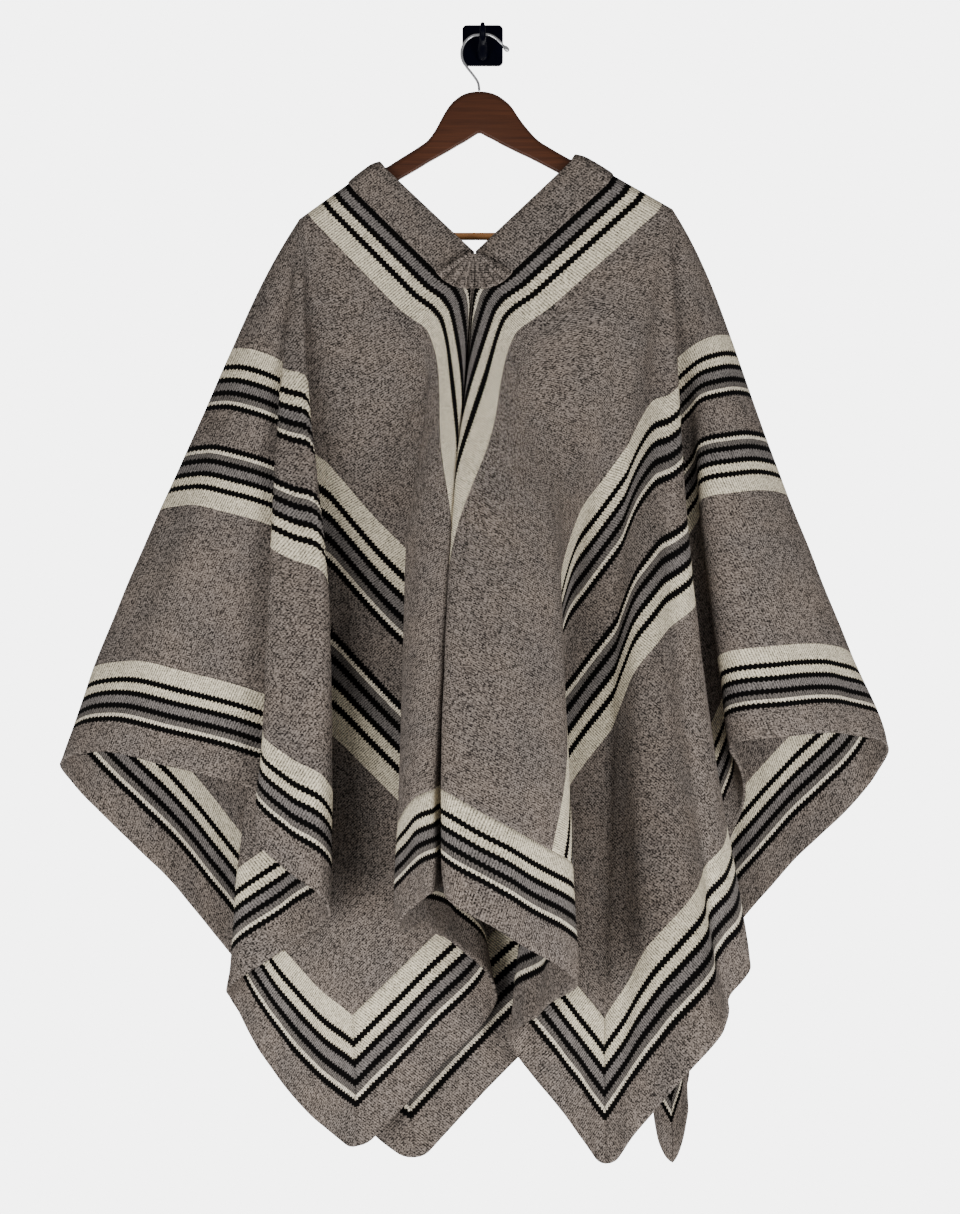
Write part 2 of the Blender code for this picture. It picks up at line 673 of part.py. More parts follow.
def add_fan(sheets, collars, finish, home):
    """Pleated fan sewn over the end of the slit."""
    x0, _, z0 = YOKE_FOOT["left", 1][0]
    top = z0 + COLLAR_FOLD * 1.3
    tree = front_tree(sheets, collars)
    turns = 4 * FAN_PLEATS
    rings = (0.12, 0.34, 0.56, 0.78, 1)
    spots, pleat, rows, depth = [], [], [], []
    for k in range(turns + 1):
        angle = math.radians(FAN_SPREAD) * (2 * k / turns - 1)
        radius = FAN_RADIUS * (1 + 0.18 * abs(math.sin(angle)))
        for share in rings:
            x = x0 + radius * share * math.sin(angle)
            z = top - radius * share * math.cos(angle)
            spots.append((x, z))
            pleat.append(FAN_PLEAT_DEPTH * (0.2 + 0.8 * share) * math.sin(k * math.pi / 2))
            hit = tree.ray_cast(Vector((x, -400, z)), Vector((0, 1, 0)))[0]
            if hit and -hit.y > 60:
                rows.append((1, abs(x - x0), z - z0))
                depth.append(-hit.y)
    plane = np.linalg.lstsq(np.array(rows), np.array(depth), rcond=None)[0]
    lift = max(d - np.dot(row, plane) for d, row in zip(depth, rows))
    lift += FAN_PLEAT_DEPTH + FAN_WALL / 2 + SEAM_GAP
    points = np.array([(x, -(plane @ (1, abs(x - x0), z - z0) + lift + fold), z)
                       for (x, z), fold in zip(spots, pleat)])
    count = len(rings)
    faces = []
    for k in range(turns):
        for r in range(count - 1):
            a, b = k * count + r, (k + 1) * count + r
            faces += [(a, a + 1, b + 1), (a, b + 1, b)]
    forward = np.tile((0.0, -1.0, 0.0), (len(points), 1))
    mesh = wall_mesh("neck_fan", points, forward, np.array(faces), FAN_WALL)
    return add_object("neck_fan", mesh, finish, home, 25)


def arm_sections(side):
    """Sections of the hanger under the cloth, from the neck outwards."""
    (neck_x, neck_z), (tip_x, tip_z) = SHOULDER[side]
    out = 1 if tip_x > neck_x else -1
    span = math.hypot(tip_x - neck_x, tip_z - neck_z)
    level, slope = abs(tip_x - neck_x) / span, (neck_z - tip_z) / span

    def section(u, half):
        x = neck_x + (tip_x - neck_x) * u / YOKE - out * slope * FOLD_RADIUS
        z = neck_z + (tip_z - neck_z) * u / YOKE - level * FOLD_RADIUS
        return x, z + half / level, z + half / level - ARM_DROP, half

    sections = [section(u, ARM_HALF) for u in (6, COLLAR_WIDTH + 8)]
    sections += [section(u, ARM_HALF_SHOULDER) for u in (COLLAR_WIDTH + 18, 64)]
    tip_u = YOKE - TIP_BACK
    tip = section(tip_u, ARM_HALF_SHOULDER)
    socket_u = tip_u * (1 - SOCKET_LENGTH / abs(tip[0] - section(0, ARM_HALF_SHOULDER)[0]))
    socket = section(socket_u, ARM_HALF_SHOULDER)
    foot = BAR_HEIGHT - BAR_RADIUS - 4
    sections.append((socket[0] - out * 0.7,) + socket[1:])
    sections.append((socket[0], socket[1], foot, socket[3]))
    middle = section((socket_u + tip_u) / 2, ARM_HALF_SHOULDER)
    sections.append((middle[0], middle[1], foot, middle[3]))
    sections.append((tip[0], tip[1], foot + 2, tip[3]))
    sections.append((tip[0] + out * 3.5, tip[1] - 6, foot + 6, tip[3] - 4.5))
    return sections


def add_hanger(finish, home):
    bare = [row + (ARM_HALF,) for row in HANGER_BARE]
    rings = []
    for x, top, bottom, half in arm_sections("left")[::-1] + bare + arm_sections("right"):
        crown = min(half * 1.22, (top - bottom) / 2)
        turns = [math.pi * k / 7 for k in range(8)]
        ring = [(x, -HANG_DEPTH + half * math.cos(a), top - crown + crown * math.sin(a))
                for a in turns]
        cut = min(3.5, half / 2)
        low = [(half, cut), (half - cut, 0)]
        ring += [(x, -HANG_DEPTH - y, bottom + z) for y, z in low]
        ring += [(x, -HANG_DEPTH + y, bottom + z) for y, z in low[::-1]]
        rings.append(ring)
    return add_object("hanger", loft("hanger", rings), finish, home)


def add_bar(finish, home):
    """Trouser bar between the inner faces of the hanger's two tips."""
    left = arm_sections("left")[5][0] + 0.5 * SEAM_GAP
    right = arm_sections("right")[5][0] - 0.5 * SEAM_GAP
    left, right = left + 1.0, right - 1.0
    circle = [(math.cos(a), math.sin(a)) for a in [math.tau * k / 16 for k in range(16)]]
    rings = []
    for x, share in ((left, 0.88), (left + 0.8, 1), (right - 0.8, 1), (right, 0.88)):
        rings.append([(x, -HANG_DEPTH + BAR_RADIUS * share * y, BAR_HEIGHT + BAR_RADIUS * share * z)
                      for y, z in circle])
    return add_object("trouser_bar", loft("trouser_bar", rings), finish, home)


def tube(name, path, radius, sides):
    """A round curve along a path of (x, y, z, share of the radius)."""
    data = bpy.data.curves.new(name, "CURVE")
    data.dimensions = "3D"
    data.bevel_depth = radius * MM
    data.bevel_resolution = sides
    data.use_fill_caps = True
    line = data.splines.new("POLY")
    line.points.add(len(path) - 1)
    for spot, (x, y, z, share) in zip(line.points, path):
        spot.co = (x * MM, y * MM, z * MM, 1)
        spot.radius = share
    return data


def add_wire(finish, home):
    """Hook wire, from the hanger's top round over the prong to its knob."""
    given = np.array([(x, -HANG_DEPTH, z, share) for x, z, share in WIRE], float)
    steps = np.linalg.norm(np.diff(given[:, :3], axis=0), axis=1)
    along = np.concatenate([[0], np.cumsum(steps)])
    between = np.array([(a + b) / 2 for a, b in zip(along[:-5], along[1:-4])])
    path = curve_through(along, given, np.sort(np.concatenate([along, between])))
    return add_object("hanger_hook", tube("hanger_hook", path, WIRE_RADIUS, 2), finish, home)


def add_wall_hook(finish, home, cutters):
    """Square plate with rounded corners, and the prong joined to it."""
    bpy.ops.mesh.primitive_cube_add(size=1, location=(0, -PLATE_DEPTH / 2 * MM, 0))
    plate = bpy.context.object
    plate.name = "wall_hook"
    plate.scale = (PLATE * MM, PLATE_DEPTH * MM, PLATE * MM)
    bpy.ops.object.transform_apply(location=True, rotation=True, scale=True)
    for old in list(plate.users_collection):
        old.objects.unlink(plate)
    home.objects.link(plate)
    plate.data.materials.append(finish)
    work = bmesh.new()
    work.from_mesh(plate.data)
    through = [e for e in work.edges if abs((e.verts[0].co - e.verts[1].co).y) > MM]
    bmesh.ops.bevel(work, geom=through, offset=PLATE_CORNER * MM, offset_type="OFFSET",
                    segments=5, profile=0.5, affect="EDGES", material=-1)
    work.to_mesh(plate.data)
    work.free()
    rings = []
    for k, (depth, z, radius) in enumerate(PRONG):
        before, after = PRONG[max(k - 1, 0)], PRONG[min(k + 1, len(PRONG) - 1)]
        lead_y, lead_z = unit(np.array((before[0] - after[0], after[1] - before[1])))
        rings.append([(radius * math.cos(a), -depth - lead_z * radius * math.sin(a),
                       z + lead_y * radius * math.sin(a))
                      for a in [math.tau * n / 14 for n in range(14)]])
    prong = add_object("prong", loft("prong", rings), finish, cutters)
    prong.hide_render = True
    prong.display_type = "WIRE"
    join = plate.modifiers.new("prong", "BOOLEAN")
    join.operation = "UNION"
    join.solver = "EXACT"
    join.object = prong
    plate.data.shade_smooth()
    plate.data.set_sharp_from_angle(angle=math.radians(35))


def main():
    for old in list(bpy.data.objects):
        bpy.data.objects.remove(old, do_unlink=True)
    home = collection("andean_poncho")
    cutters = collection("cutters")
    cutters.hide_render = True

    wool = material("grey_brown_wool", (0.18, 0.15, 0.13), 0.9)
    border = material("border_wool", (0.20, 0.18, 0.16), 0.9)
    binding = material("collar_wool", (0.17, 0.14, 0.12), 0.9)
    pleats = material("fan_wool", (0.18, 0.15, 0.13), 0.9)
    walnut = material("hanger_wood", (0.10, 0.04, 0.02), 0.4)
    honey = material("bar_wood", (0.30, 0.14, 0.05), 0.45)
    chrome = material("chrome_wire", (0.7, 0.7, 0.7), 0.15, 1.0)
    gloss = material("dark_gloss", (0.01, 0.012, 0.025), 0.2)

    sheets = {side: Sheet(side) for side in ("left", "right")}
    meet_at_centre(sheets)
    for sheet in sheets.values():
        sheet.even_wall()
    for side, sheet in sheets.items():
        for name, (points, faces) in sheet.pieces().items():
            full = f"{name}_{side}"
            finish = wool if name == "body" else border
            add_object(full, wall_mesh(full, points, sheet.normals, faces, WALL), finish, home)
    collars = [add_collar(side, binding, home) for side in ("left", "right")]
    add_fan(sheets, collars, pleats, home)
    add_hanger(walnut, home)
    add_bar(honey, home)
    add_wire(chrome, home)
    add_wall_hook(gloss, home, cutters)


main()
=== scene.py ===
"""Andean poncho on a wooden hanger: finished cloth, wood and metal.

Lengths in the tables are millimetres in the frame's own axes, with depth
counted from the wall towards the viewer.  A place on a length of cloth has
flat coordinates: u, from the centre seam outwards, and v, from the shoulder
fold, positive on the front and negative on the back.  The same coordinates in
metres are the cloth's UV map, so each stripe runs where it was woven.
"""
import math

import bmesh
import bpy
import numpy as np
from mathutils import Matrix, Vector


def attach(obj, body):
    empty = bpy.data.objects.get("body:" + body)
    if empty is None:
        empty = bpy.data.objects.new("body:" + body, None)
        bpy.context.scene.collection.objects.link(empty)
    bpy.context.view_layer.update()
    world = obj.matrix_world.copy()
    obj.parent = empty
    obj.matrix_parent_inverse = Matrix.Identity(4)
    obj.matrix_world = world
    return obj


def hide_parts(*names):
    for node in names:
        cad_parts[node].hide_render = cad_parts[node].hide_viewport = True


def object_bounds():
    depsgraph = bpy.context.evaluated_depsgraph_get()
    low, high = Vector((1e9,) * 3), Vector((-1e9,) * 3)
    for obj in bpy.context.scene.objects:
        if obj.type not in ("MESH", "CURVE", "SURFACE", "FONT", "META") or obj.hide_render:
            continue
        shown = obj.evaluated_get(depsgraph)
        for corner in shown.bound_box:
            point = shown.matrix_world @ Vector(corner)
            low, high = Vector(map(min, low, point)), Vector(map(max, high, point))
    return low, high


bl_info = {
    "name": "Andean poncho",
    "version": (1, 0, 0),
    "blender": (4, 5, 0),
    "location": "View3D > Sidebar > Poncho",
    "description": "Weaves, hangs and finishes a striped poncho on its hanger",
    "category": "Object",
}

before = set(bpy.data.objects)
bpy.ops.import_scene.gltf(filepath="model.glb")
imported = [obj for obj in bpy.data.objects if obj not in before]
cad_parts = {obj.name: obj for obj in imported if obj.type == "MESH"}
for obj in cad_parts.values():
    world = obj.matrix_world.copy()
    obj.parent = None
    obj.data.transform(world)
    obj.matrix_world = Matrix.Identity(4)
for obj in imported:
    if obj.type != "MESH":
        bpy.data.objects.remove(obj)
CAD_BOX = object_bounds()
MM = 0.001

# ---- Cut of the cloth, mm ----
HALF_WIDTH = 806        # centre seam to wrist edge
LENGTH = 900            # shoulder fold to hem
BORDER = 118            # striped border along wrist edge and hem
YOKE = 106              # centre seam to the hanger's tip
SLIT = 170              # shoulder fold to the end of the neck slit
CORNER = 24             # the four corners are rounded over this length
WALL = 3.0              # thickness of the woollen cloth
SEAM = 0.15             # half the gap between pieces that are sewn together

# ---- Woven stripes, mm from a border's plain edge ----
PLAIN_EDGE = 40         # the denser weave of the stripes starts here
STRIPES = [
    # from   colour
    (42.25,  "white"),
    (50.0,   "dark_grey"),
    (60.25,  "cool_grey"),
    (76.75,  "cream"),
    (118.0,  "plain"),
]
BLACK_LINES = (42.25, 60.25, 76.75, 93.75)
BLACK_HALF = 3.5        # half the width of a black line
TOOTH = 4.5             # pitch of the black lines' teeth
TOOTH_HEIGHT = 2.2
STRIPE_BLUR = 0.25      # a stripe's colour changes over this much either way
MID_BAND = 383          # centre of the mirrored band between seam and wrist
MID_EDGE = 16           # pattern distance at that band's centre
YOKE_EDGE = 24          # pattern distance at the cut edge of the neck slit
CENTRE_EDGE = 32        # the same at the centre seam
SLIT_END = (SLIT - 20, SLIT + 25)   # the one becomes the other between these

# ---- Weave: mm, and shares of the wool's tone ----
RIB = 2.7               # pitch of the fine ribs that run across the stripes
FLECK = 1.3             # length of one short float of yarn
PLAIN_FLECKS = 1.9
PLAIN_RIBS = 0.28
BAND_FLECKS = 0.9
BAND_RIBS = 0.45
YARN_TONE = 0.2         # uneven yarns, and clouds in the dyeing
DARKEST = 0.1           # share of its colour that a fleck keeps at least

# ---- Places of the folds ----
# Neck corner and hanger tip on the shoulder line, as (x, z)
SHOULDER = {
    "left": ((-135, -157), (-221, -219)),
    "right": ((125, -148), (229, -207)),
}
# Lower line of the yoke: end of the slit and outer corner, as (x, depth, z);
# 1 is the front and -1 the back
YOKE_FOOT = {
    ("left", 1): ((-10, 80, -282), (-93, 92, -357)),
    ("right", 1): ((-10, 80, -282), (69, 92, -357)),
    ("left", -1): ((-10, 22, -275), (-95, 18, -350)),
    ("right", -1): ((-10, 22, -275), (70, 18, -350)),
}
# One row for each fold, from the back's centre seam round the sleeve to the
# front's.  start: distance along the yoke's outer line from the shoulder.
# edge: distance along the garment's edge from the sleeve's top (the corner is
# at 900).  x, depth, z: where the fold meets that edge.  out, fore, rise: how
# far the fold bows to the right, to the viewer and up half-way along it.
LEFT_FOLDS = [
    # name             start   edge     x  depth    z  out fore rise
    ("back seam",      -276, -1706, -152,  31,  -991,  25, -4,  0),
    ("back layer 2",   -226, -1500,  -27,  42, -1055,   0,  3,  0),
    ("back layer 1",   -170, -1320,   98,  51, -1106, -12, 22,  0),
    ("back fold 1",    -142, -1243,  152,  57, -1124, -12, 23,  0),
    ("back hem end",   -135, -1223,  150,  70, -1130, -14, 23,  0),
    ("back hem",        -80, -1071,   40,  76, -1231,  -5,  8,  0),
    ("back corner",     -40,  -900,  -80,  68, -1360,   0,  5,  0),
    ("back side",       -25,  -845, -130,  56, -1326,   0,  0,  0),
    ("back pleat 2",    -19,  -630, -222,  40, -1155,   0,  0,  0),
    ("back pleat 1",    -15,  -500, -236,  18, -1200,   0,  0,  0),
    ("back sleeve 2",   -11,  -345, -293,  18, -1129,   0,  0,  0),
    ("back sleeve 1",    -8,  -195, -388,  20, -1014,   0,  0,  0),
    ("sleeve under",     -4,   -45, -498,  30,  -903,   0,  0,  0),
    ("sleeve top",        0,     0, -512,  62,  -875, -10,  0,  0),
    ("sleeve roll",       4,    60, -460, 112,  -860,  -5, 10,  0),
    ("sleeve middle",     8,   150, -375, 140,  -875,   0, 10,  0),
    ("sleeve end",       11,   240, -280, 144,  -900,   0,  0,  0),
    ("side valley",      12,   262, -254, 136,  -910,   0,  0,  0),
    ("side valley 2",    13,   282, -244, 146,  -925,   0,  0,  0),
    ("side pleat edge",   14,   340, -262, 190,  -960, -10,  0,  8),
    ("side pleat",       15,   385, -225, 205,  -995,   0,  5, 12),
    ("side ridge",       16,   428, -186, 216, -1022,  10, 10, 15),
    ("side ridge 2",     17,   440, -178, 207, -1032,  10, 10, 12),
    ("side return",      18,   532, -230, 126, -1090,   0,  0,  0),
    ("side tip",         19,   612, -303, 108, -1145,   0,  0,  0),
    ("side tip under",   20,   632, -301,  88, -1155,   0,  0,  0),
    ("lower side",       22,   720, -258,  98, -1232,   0,  0,  0),
    ("lower corner",     30,   810, -203, 110, -1294,   0,  0,  0),
    ("corner",           40,   900, -148, 118, -1338,   0,  0,  0),
    ("hem",              80,  1020,  -60, 112, -1245,   0,  0,  0),
    ("hem tip",         130,  1140,   15, 104, -1155,   0,  0,  0),
    ("hem return",      172,  1240,  -29, 165, -1085,   0,  0,  0),
    ("roll",            200,  1425,  -95, 280, -1045,  -5,  0,  0),
    ("roll front",      232,  1474,  -75, 300, -1020,  -8,  0,  0),
    ("lip",             266,  1517,  -57, 298, -1010,  -3,  0,  0),
    ("lip side",        268,  1530,  -53, 284, -1008,  -4,  0,  0),
    ("pleat wall",      271,  1584,  -26, 215, -1005, -10,  0,  0),
    ("pleat floor",     274,  1672,   10, 130, -1005, -20,  0,  0),
    ("seam",            276,  1706,   25,  98, -1005, -24,  0,  0),
]
RIGHT_FOLDS = [
    # name             start   edge     x  depth    z  out fore rise
    ("back seam",      -276, -1706, -152,  31,  -991,  25, -4,  0),
    ("back fold",      -273, -1690, -146,  17,  -994,  25, -6,  0),
    ("back wave 5",    -262, -1600,  -85,  14, -1014,  20, -3,  0),
    ("back wave 4",    -250, -1510,  -30,  27, -1042,  12, -3,  0),
    ("back wave 3",    -235, -1420,   25,  12, -1070,   5,  0,  0),
    ("back wave 2",    -218, -1330,   75,  26, -1105,   0,  0,  0),
    ("back wave 1",    -195, -1240,  120,  14, -1150,   0,  0,  0),
    ("back hem 2",     -160, -1150,  165,  32, -1203,   0,  0,  0),
    ("back hem 1",     -110, -1060,  190,  38, -1250,   0,  0,  0),
    ("tail inside",     -70,  -975,  208,  46, -1298,   0,  0,  0),
    ("tail inside 2",   -56,  -940,  213,  48, -1334,   0,  0,  0),
    ("back corner",     -40,  -900,  230,  52, -1370,   0,  0,  0),
    ("tail outside 2",  -36,  -860,  242,  53, -1330,   0,  0,  0),
    ("tail outside",    -30,  -810,  247,  50, -1275,   0,  0,  0),
    ("back pleat 2",    -20,  -600,  276,  44, -1140,   0,  0,  0),
    ("back pleat 1",    -15,  -460,  270,  20, -1150,   0,  0,  0),
    ("back sleeve 2",   -11,  -265,  318,  16, -1068,   0,  0,  0),
    ("back sleeve 1",    -8,  -170,  377,  20, -1000,   0,  0,  0),
    ("sleeve under",     -4,   -40,  478,  30,  -893,   0,  0,  0),
    ("sleeve top",        0,     0,  490,  62,  -860,   0,  0,  0),
    ("sleeve roll",       4,    65,  445, 108,  -840,   0, 10,  0),
    ("sleeve middle",     8,   150,  370, 138,  -840,   0, 10,  0),
    ("sleeve end",       11,   225,  290, 130,  -855,   0,  0,  0),
    ("side return",      13,   275,  312,  98,  -890, -14,  0,  0),
    ("side valley",      14,   390,  290,  75,  -995, -36,  0,  0),
    ("side ridge",       17,   590,  295, 243, -1120, -20,  0, 20),
    ("side ridge 2",     18,   603,  287, 251, -1127, -21,  0, 20),
    ("side front",       20,   690,  270, 236, -1183, -35,  0, 30),
    ("lower side",       25,   790,  205, 190, -1265, -30,  0, 32),
    ("corner",           40,   900,  145, 150, -1354, -16,  0, 22),
    ("hem",              55,  1000,   90, 130, -1280, -20,  0, 22),
    ("hem tip",          75,  1085,   35, 115, -1210,  -5,  0, 25),
    ("hem return",      130,  1190,   65, 200, -1160,   0,  0, 25),
    ("ridge",           190,  1317,  105, 295, -1110,  10,  0,  0),
    ("ridge front",     228,  1438,   40, 305, -1065,   0,  0,  0),
    ("lip",             272,  1539,  -46, 301, -1010, -11,  0,  0),
    ("lip side",        273,  1551,  -45, 288, -1008, -10,  0,  0),
    ("pleat wall",      274,  1618,   -5, 215, -1005, -12,  0,  0),
    ("pleat floor",     275,  1688,   29, 130, -1005, -20,  0,  0),
    ("seam",            276,  1706,   25,  98, -1005, -24,  0,  0),
]
FOLDS = {"left": LEFT_FOLDS, "right": RIGHT_FOLDS}
CREASES = ("back seam", "back corner", "corner", "seam")   # no curve runs on across these
WAKE_FRONT = (0.35, 0.35, 0.35)   # shares of a rib over which its fold comes up
WAKE_SIDE = (0.6, 0.35, 0.6)      # the same at the sides: across, in depth, down
WAKE_BACK = (0.5, 0.3, 0.5)       # and at the back
FRONT_START = 40        # folds that start beyond this are the front's
BACK_START = -4         # and before this the back's
EVEN_SPREAD = 130       # length of edge over which the cloth is even at the top
# A rib first leans the way of the yoke above it, or of the shoulder: the share
# of the rib that does, and how much of that lean it takes
YOKE_LEAN = (0.4, 0.6)
SHOULDER_LEAN = (0.6, 0.4)
YOKE_LEVEL = 60         # the yoke's way is read from this far down
SHOULDER_REACH = 20     # start places within this of the shoulder lean its way
MEND_LEVEL = 0.25       # level by which the ribs have left the yoke's curve
HANG_DEPTH = 45         # hanger's middle plane, from the wall
FOLD_RADIUS = 12        # the cloth's middle over the hanger's arm
HALVINGS = 34           # steps in the search for a flat place's fold

# Soft waves in the cloth: wave length along the edge, height at the edge,
# lean (turns of the wave from shoulder to edge) and first and full level
WAVES = [
    # length height lean  from  full
    (148,    2.6,   0.35, 0.15, 1.0),
    (91,     1.7,  -0.55, 0.25, 1.2),
    (57,     0.8,   0.90, 0.50, 1.6),
    (36,     0.35, -1.30, 0.90, 2.0),
]
SWELL = 0.35            # share of a wave's height that comes and goes
SWELL_LENGTHS = 3.1     # over this many of its own lengths
DIMPLES = 9             # sets of small uneven dimples
DIMPLE_HEIGHT = 0.14
DIMPLE_TURN = (0.055, 0.05)   # radians for each mm across and down
DIMPLE_SPREAD = 0.02    # how far the sets differ in that
DIMPLE_SLANT = 0.03     # radians for each mm down, at most, that slant a set
DIMPLE_SHIFT = 9        # radians that shift a set, at most
EDGE_ROLL = 2.0         # the hems curl in by this much
ROLL_LEVEL = 1.7        # from this level to the edge
SEAM_CALM = 30          # the waves die out this near to the centre seam
SEEDS = {"left": 11, "right": 23, "fan": 5}

# ---- Collar bands and fan, mm ----
COLLAR_WIDTH = 33       # cut edge to the band's sewn edge
COLLAR_FOLD = 14        # cut edge to the band's fold
COLLAR_BACK = 6         # the bands' ends stand at least this far from the slit's
COLLAR_BED = WALL / 2 + 2 * SEAM
COLLAR_FACE = COLLAR_BED + WALL
COLLAR_OUTSIDE = [
    # from cut edge, sink below the band's face
    (33, 2.7), (32.7, 2.2), (31, 1.5), (28, 0.88), (22, 0.4), (16, 0.16), (10, 0), (0, 0),
    (-4, 0.5), (-7, 1.2), (-10, 2.2), (-11.9, 2.8), (-13.1, 3.3), (-13.8, 4.0),
]
COLLAR_INSIDE = [
    # from cut edge, offset from the cloth's middle
    (-10.5, 0), (-9.5, 0.5), (-7, 0.9), (-1.5, COLLAR_BED), (6, COLLAR_BED),
    (12, COLLAR_BED), (19, COLLAR_BED), (26, COLLAR_BED),
]
# Stretches along the slit, and the step between the band's rings in each
COLLAR_STRETCHES = ((-SLIT, -24, 6), (-22, 22, 2), (24, SLIT, 6))
FAN_RADIUS = 46
FAN_FLARE = 0.18        # the fan's sides are longer than its middle by this share
FAN_SPREAD = 60         # degrees to each side
FAN_RISE = 21.7         # gathered point above the end of the slit
FAN_START = 0.1         # share of the radius that is hidden in the gather
FAN_PLEATS = 8
FAN_PLEAT_DEPTH = 6.5
FAN_PLEAT_ROUND = 0.7   # below 1, the pleats are round outside and sharp between
FAN_UNEVEN = 0.9        # how far a pleat is shifted at most, in radians of its wave
FAN_BACK = 0.35         # share of the pleats' depth that lies behind the band's face
FAN_CREASE = (1.8, 2.5)   # depth of the middle crease, and its half width in degrees
FAN_WALL = 2.0

# ---- Hanger and hook, mm ----
ARM_HALF = 6.6          # half the thickness of the wood
ARM_HALF_SHOULDER = 9.8
ARM_DROP = 26           # height of the wood
ARM_CROWN = 1.22        # height of the rounded top, as a share of half the thickness
ARM_EDGE = 3.5          # radius along the lower edges
SOCKET_LENGTH = 20      # the arm's end comes down round the bar over this length
SOCKET_STEP = 0.7       # length of the slope above it
SOCKET_WALL = 4         # wood below the bar
TIP_BACK = 9
TIP_ROUNDING = [
    # out  down  lift  thinner: changes to the section at the tip
    (-1.5, 0.0,  1.0,  0.0),
    (1.4,  1.6,  2.5,  1.3),
    (3.5,  6.0,  6.0,  4.5),
]
BAR_HEIGHT = -239
BAR_RADIUS = 4.6
BAR_CLEAR = SEAM + 1.0  # between a socket's face and the bar's end
BAR_END = ((0, 0.80), (0.2, 0.9), (0.5, 0.96), (1.0, 1.0))   # along, share of radius
WIRE_RADIUS = 1.6
PLATE = 50
PLATE_DEPTH = 6
PLATE_CORNER = 6
PLATE_RIM = 1.2

# Bare middle of the wooden hanger, as sections of it
HANGER_BARE = [
    # x      top   bottom
    (-115, -154.5, -178.5),
    (-97,  -143.0, -168.0),
    (-78,  -131.0, -157.0),
    (-65,  -121.0, -149.0),
    (-56,  -108.0, -144.0),
    (-48,   -93.0, -139.5),
    (-40,   -80.5, -135.0),
    (-30,   -71.0, -129.0),
    (-21,   -66.0, -124.0),
    (-13,   -64.0, -119.0),
    (-4,    -63.3, -114.0),
    (5,     -64.0, -118.0),
    (13,    -66.0, -122.0),
    (24,    -72.0, -128.0),
    (35,    -82.0, -133.5),
    (44,    -95.5, -138.0),
    (54,   -108.5, -142.5),
    (65,   -120.5, -148.0),
    (83,   -132.5, -157.5),
    (103,  -144.0, -168.0),
]
# Hook wire's middle line, from the hanger up and round the prong, with the
# wire's thickness as a share of its own where it ends in a knob
WIRE = [
    # x       z    share
    (-4,   -62.7,  1.0),
    (-5.5, -53.0,  1.0),
    (-11.5, -43.5, 1.0),
    (-19,  -34.0,  1.0),
    (-24,  -26.0,  1.0),
    (-25.6, -17.5, 1.0),
    (-23.8, -8.3,  1.0),
    (-19,   -1.0,  1.0),
    (-12,    3.9,  1.0),
    (-4,     5.1,  1.0),
    (8,      5.1,  1.0),
    (14.6,   2.0,  1.0),
    (21,    -3.4,  1.0),
    (25.5,  -8.3,  1.0),
    (27.2, -10.1,  1.7),
    (29.0, -12.0,  1.9),
    (30.8, -13.9,  1.5),
    (31.6, -14.8,  0.7),
]
# Prong's middle line, out from the plate and up at its end
PRONG = [
    # depth    z  radius
    (3,    -13.0, 8.5),
    (16,   -11.0, 7.5),
    (27,    -7.0, 6.0),
    (38,    -2.2, 4.6),
    (45,    -0.9, 4.0),
    (52,     1.5, 4.0),
    (56.5,   7.0, 3.6),
    (57.5,  13.0, 3.2),
    (57.5,  16.5, 2.4),
]
PRONG_CAP = ((0.8, 0.9), (1.4, 0.7), (1.8, 0.4))   # further along, share of radius

# ---- Stage, metres ----
VIEW_DISTANCE = 3.6     # from the camera to the cloth's front
VIEW_HEIGHT = 1.4568    # height of that plane that the camera takes in
VIEW_PLANE = -0.08
VIEW_CENTRE = (-0.0032, -0.688)
FLOOR_DROP = 0.25       # from the lowest corner of the cloth to the floor
FLOOR_RADIUS = 0.95
FLOOR_CENTRE = -0.16
LIGHTS_AIM = (0, -0.1, -0.7)
LIGHTS = [
    # name    x     y     z     size
    ("key",   1.3, -1.5, -1.45, 1.0),
    ("fill", -1.0, -1.6, -1.45, 1.0),
    ("back",  0.5,  2.6, -0.8,  2.0),
]


# ---- The hanging cloth ----
def unit(vectors):
    length = np.linalg.norm(vectors, axis=-1, keepdims=True)
    return vectors / np.maximum(length, 1e-9)


def smooth(value, low, high):
    """0 below low, 1 above high and a soft rise between."""
    share = np.clip((value - low) / (high - low), 0, 1)
    return share * share * (3 - 2 * share)


def spaced(stops, step):
    """Distances that pass through the given stops, about a step apart."""
    line = [stops[0]]
    for a, b in zip(stops, stops[1:]):
        count = max(1, round((b - a) / step))
        line += [a + (b - a) * k / count for k in range(1, count + 1)]
    return np.array(line, float)


def between(near, far, pull, push, q, step):
    """Smooth curve at a share q of a step, from the slopes pull and push at its ends."""
    ends = near * (2 * q**3 - 3 * q**2 + 1) + far * (3 * q**2 - 2 * q**3)
    return ends + (pull * (q**3 - 2 * q**2 + q) + push * (q**3 - q**2)) * step


def curve_through(keys, values, at):
    """Smooth curve through rows of values at increasing keys."""
    keys = np.asarray(keys, float)
    step = np.diff(keys)[:, None]
    slope = np.diff(values, axis=0) / step
    tangent = np.empty_like(values)
    tangent[0], tangent[-1] = slope[0], slope[-1]
    weighed = slope[:-1] * step[1:] + slope[1:] * step[:-1]
    tangent[1:-1] = weighed / (step[1:] + step[:-1])
    i = np.clip(np.searchsorted(keys, at, side="right") - 1, 0, len(keys) - 2)
    q = (at - keys[i])[:, None] / step[i]
    return between(values[i], values[i + 1], tangent[i], tangent[i + 1], q, step[i])


def start_flat(start):
    """Flat place of points on the yoke's outer line."""
    far = np.abs(start)
    u = np.where(far <= SLIT, YOKE, YOKE + SLIT - far)
    return np.stack([u, np.sign(start) * np.minimum(far, SLIT)], -1).astype(float)


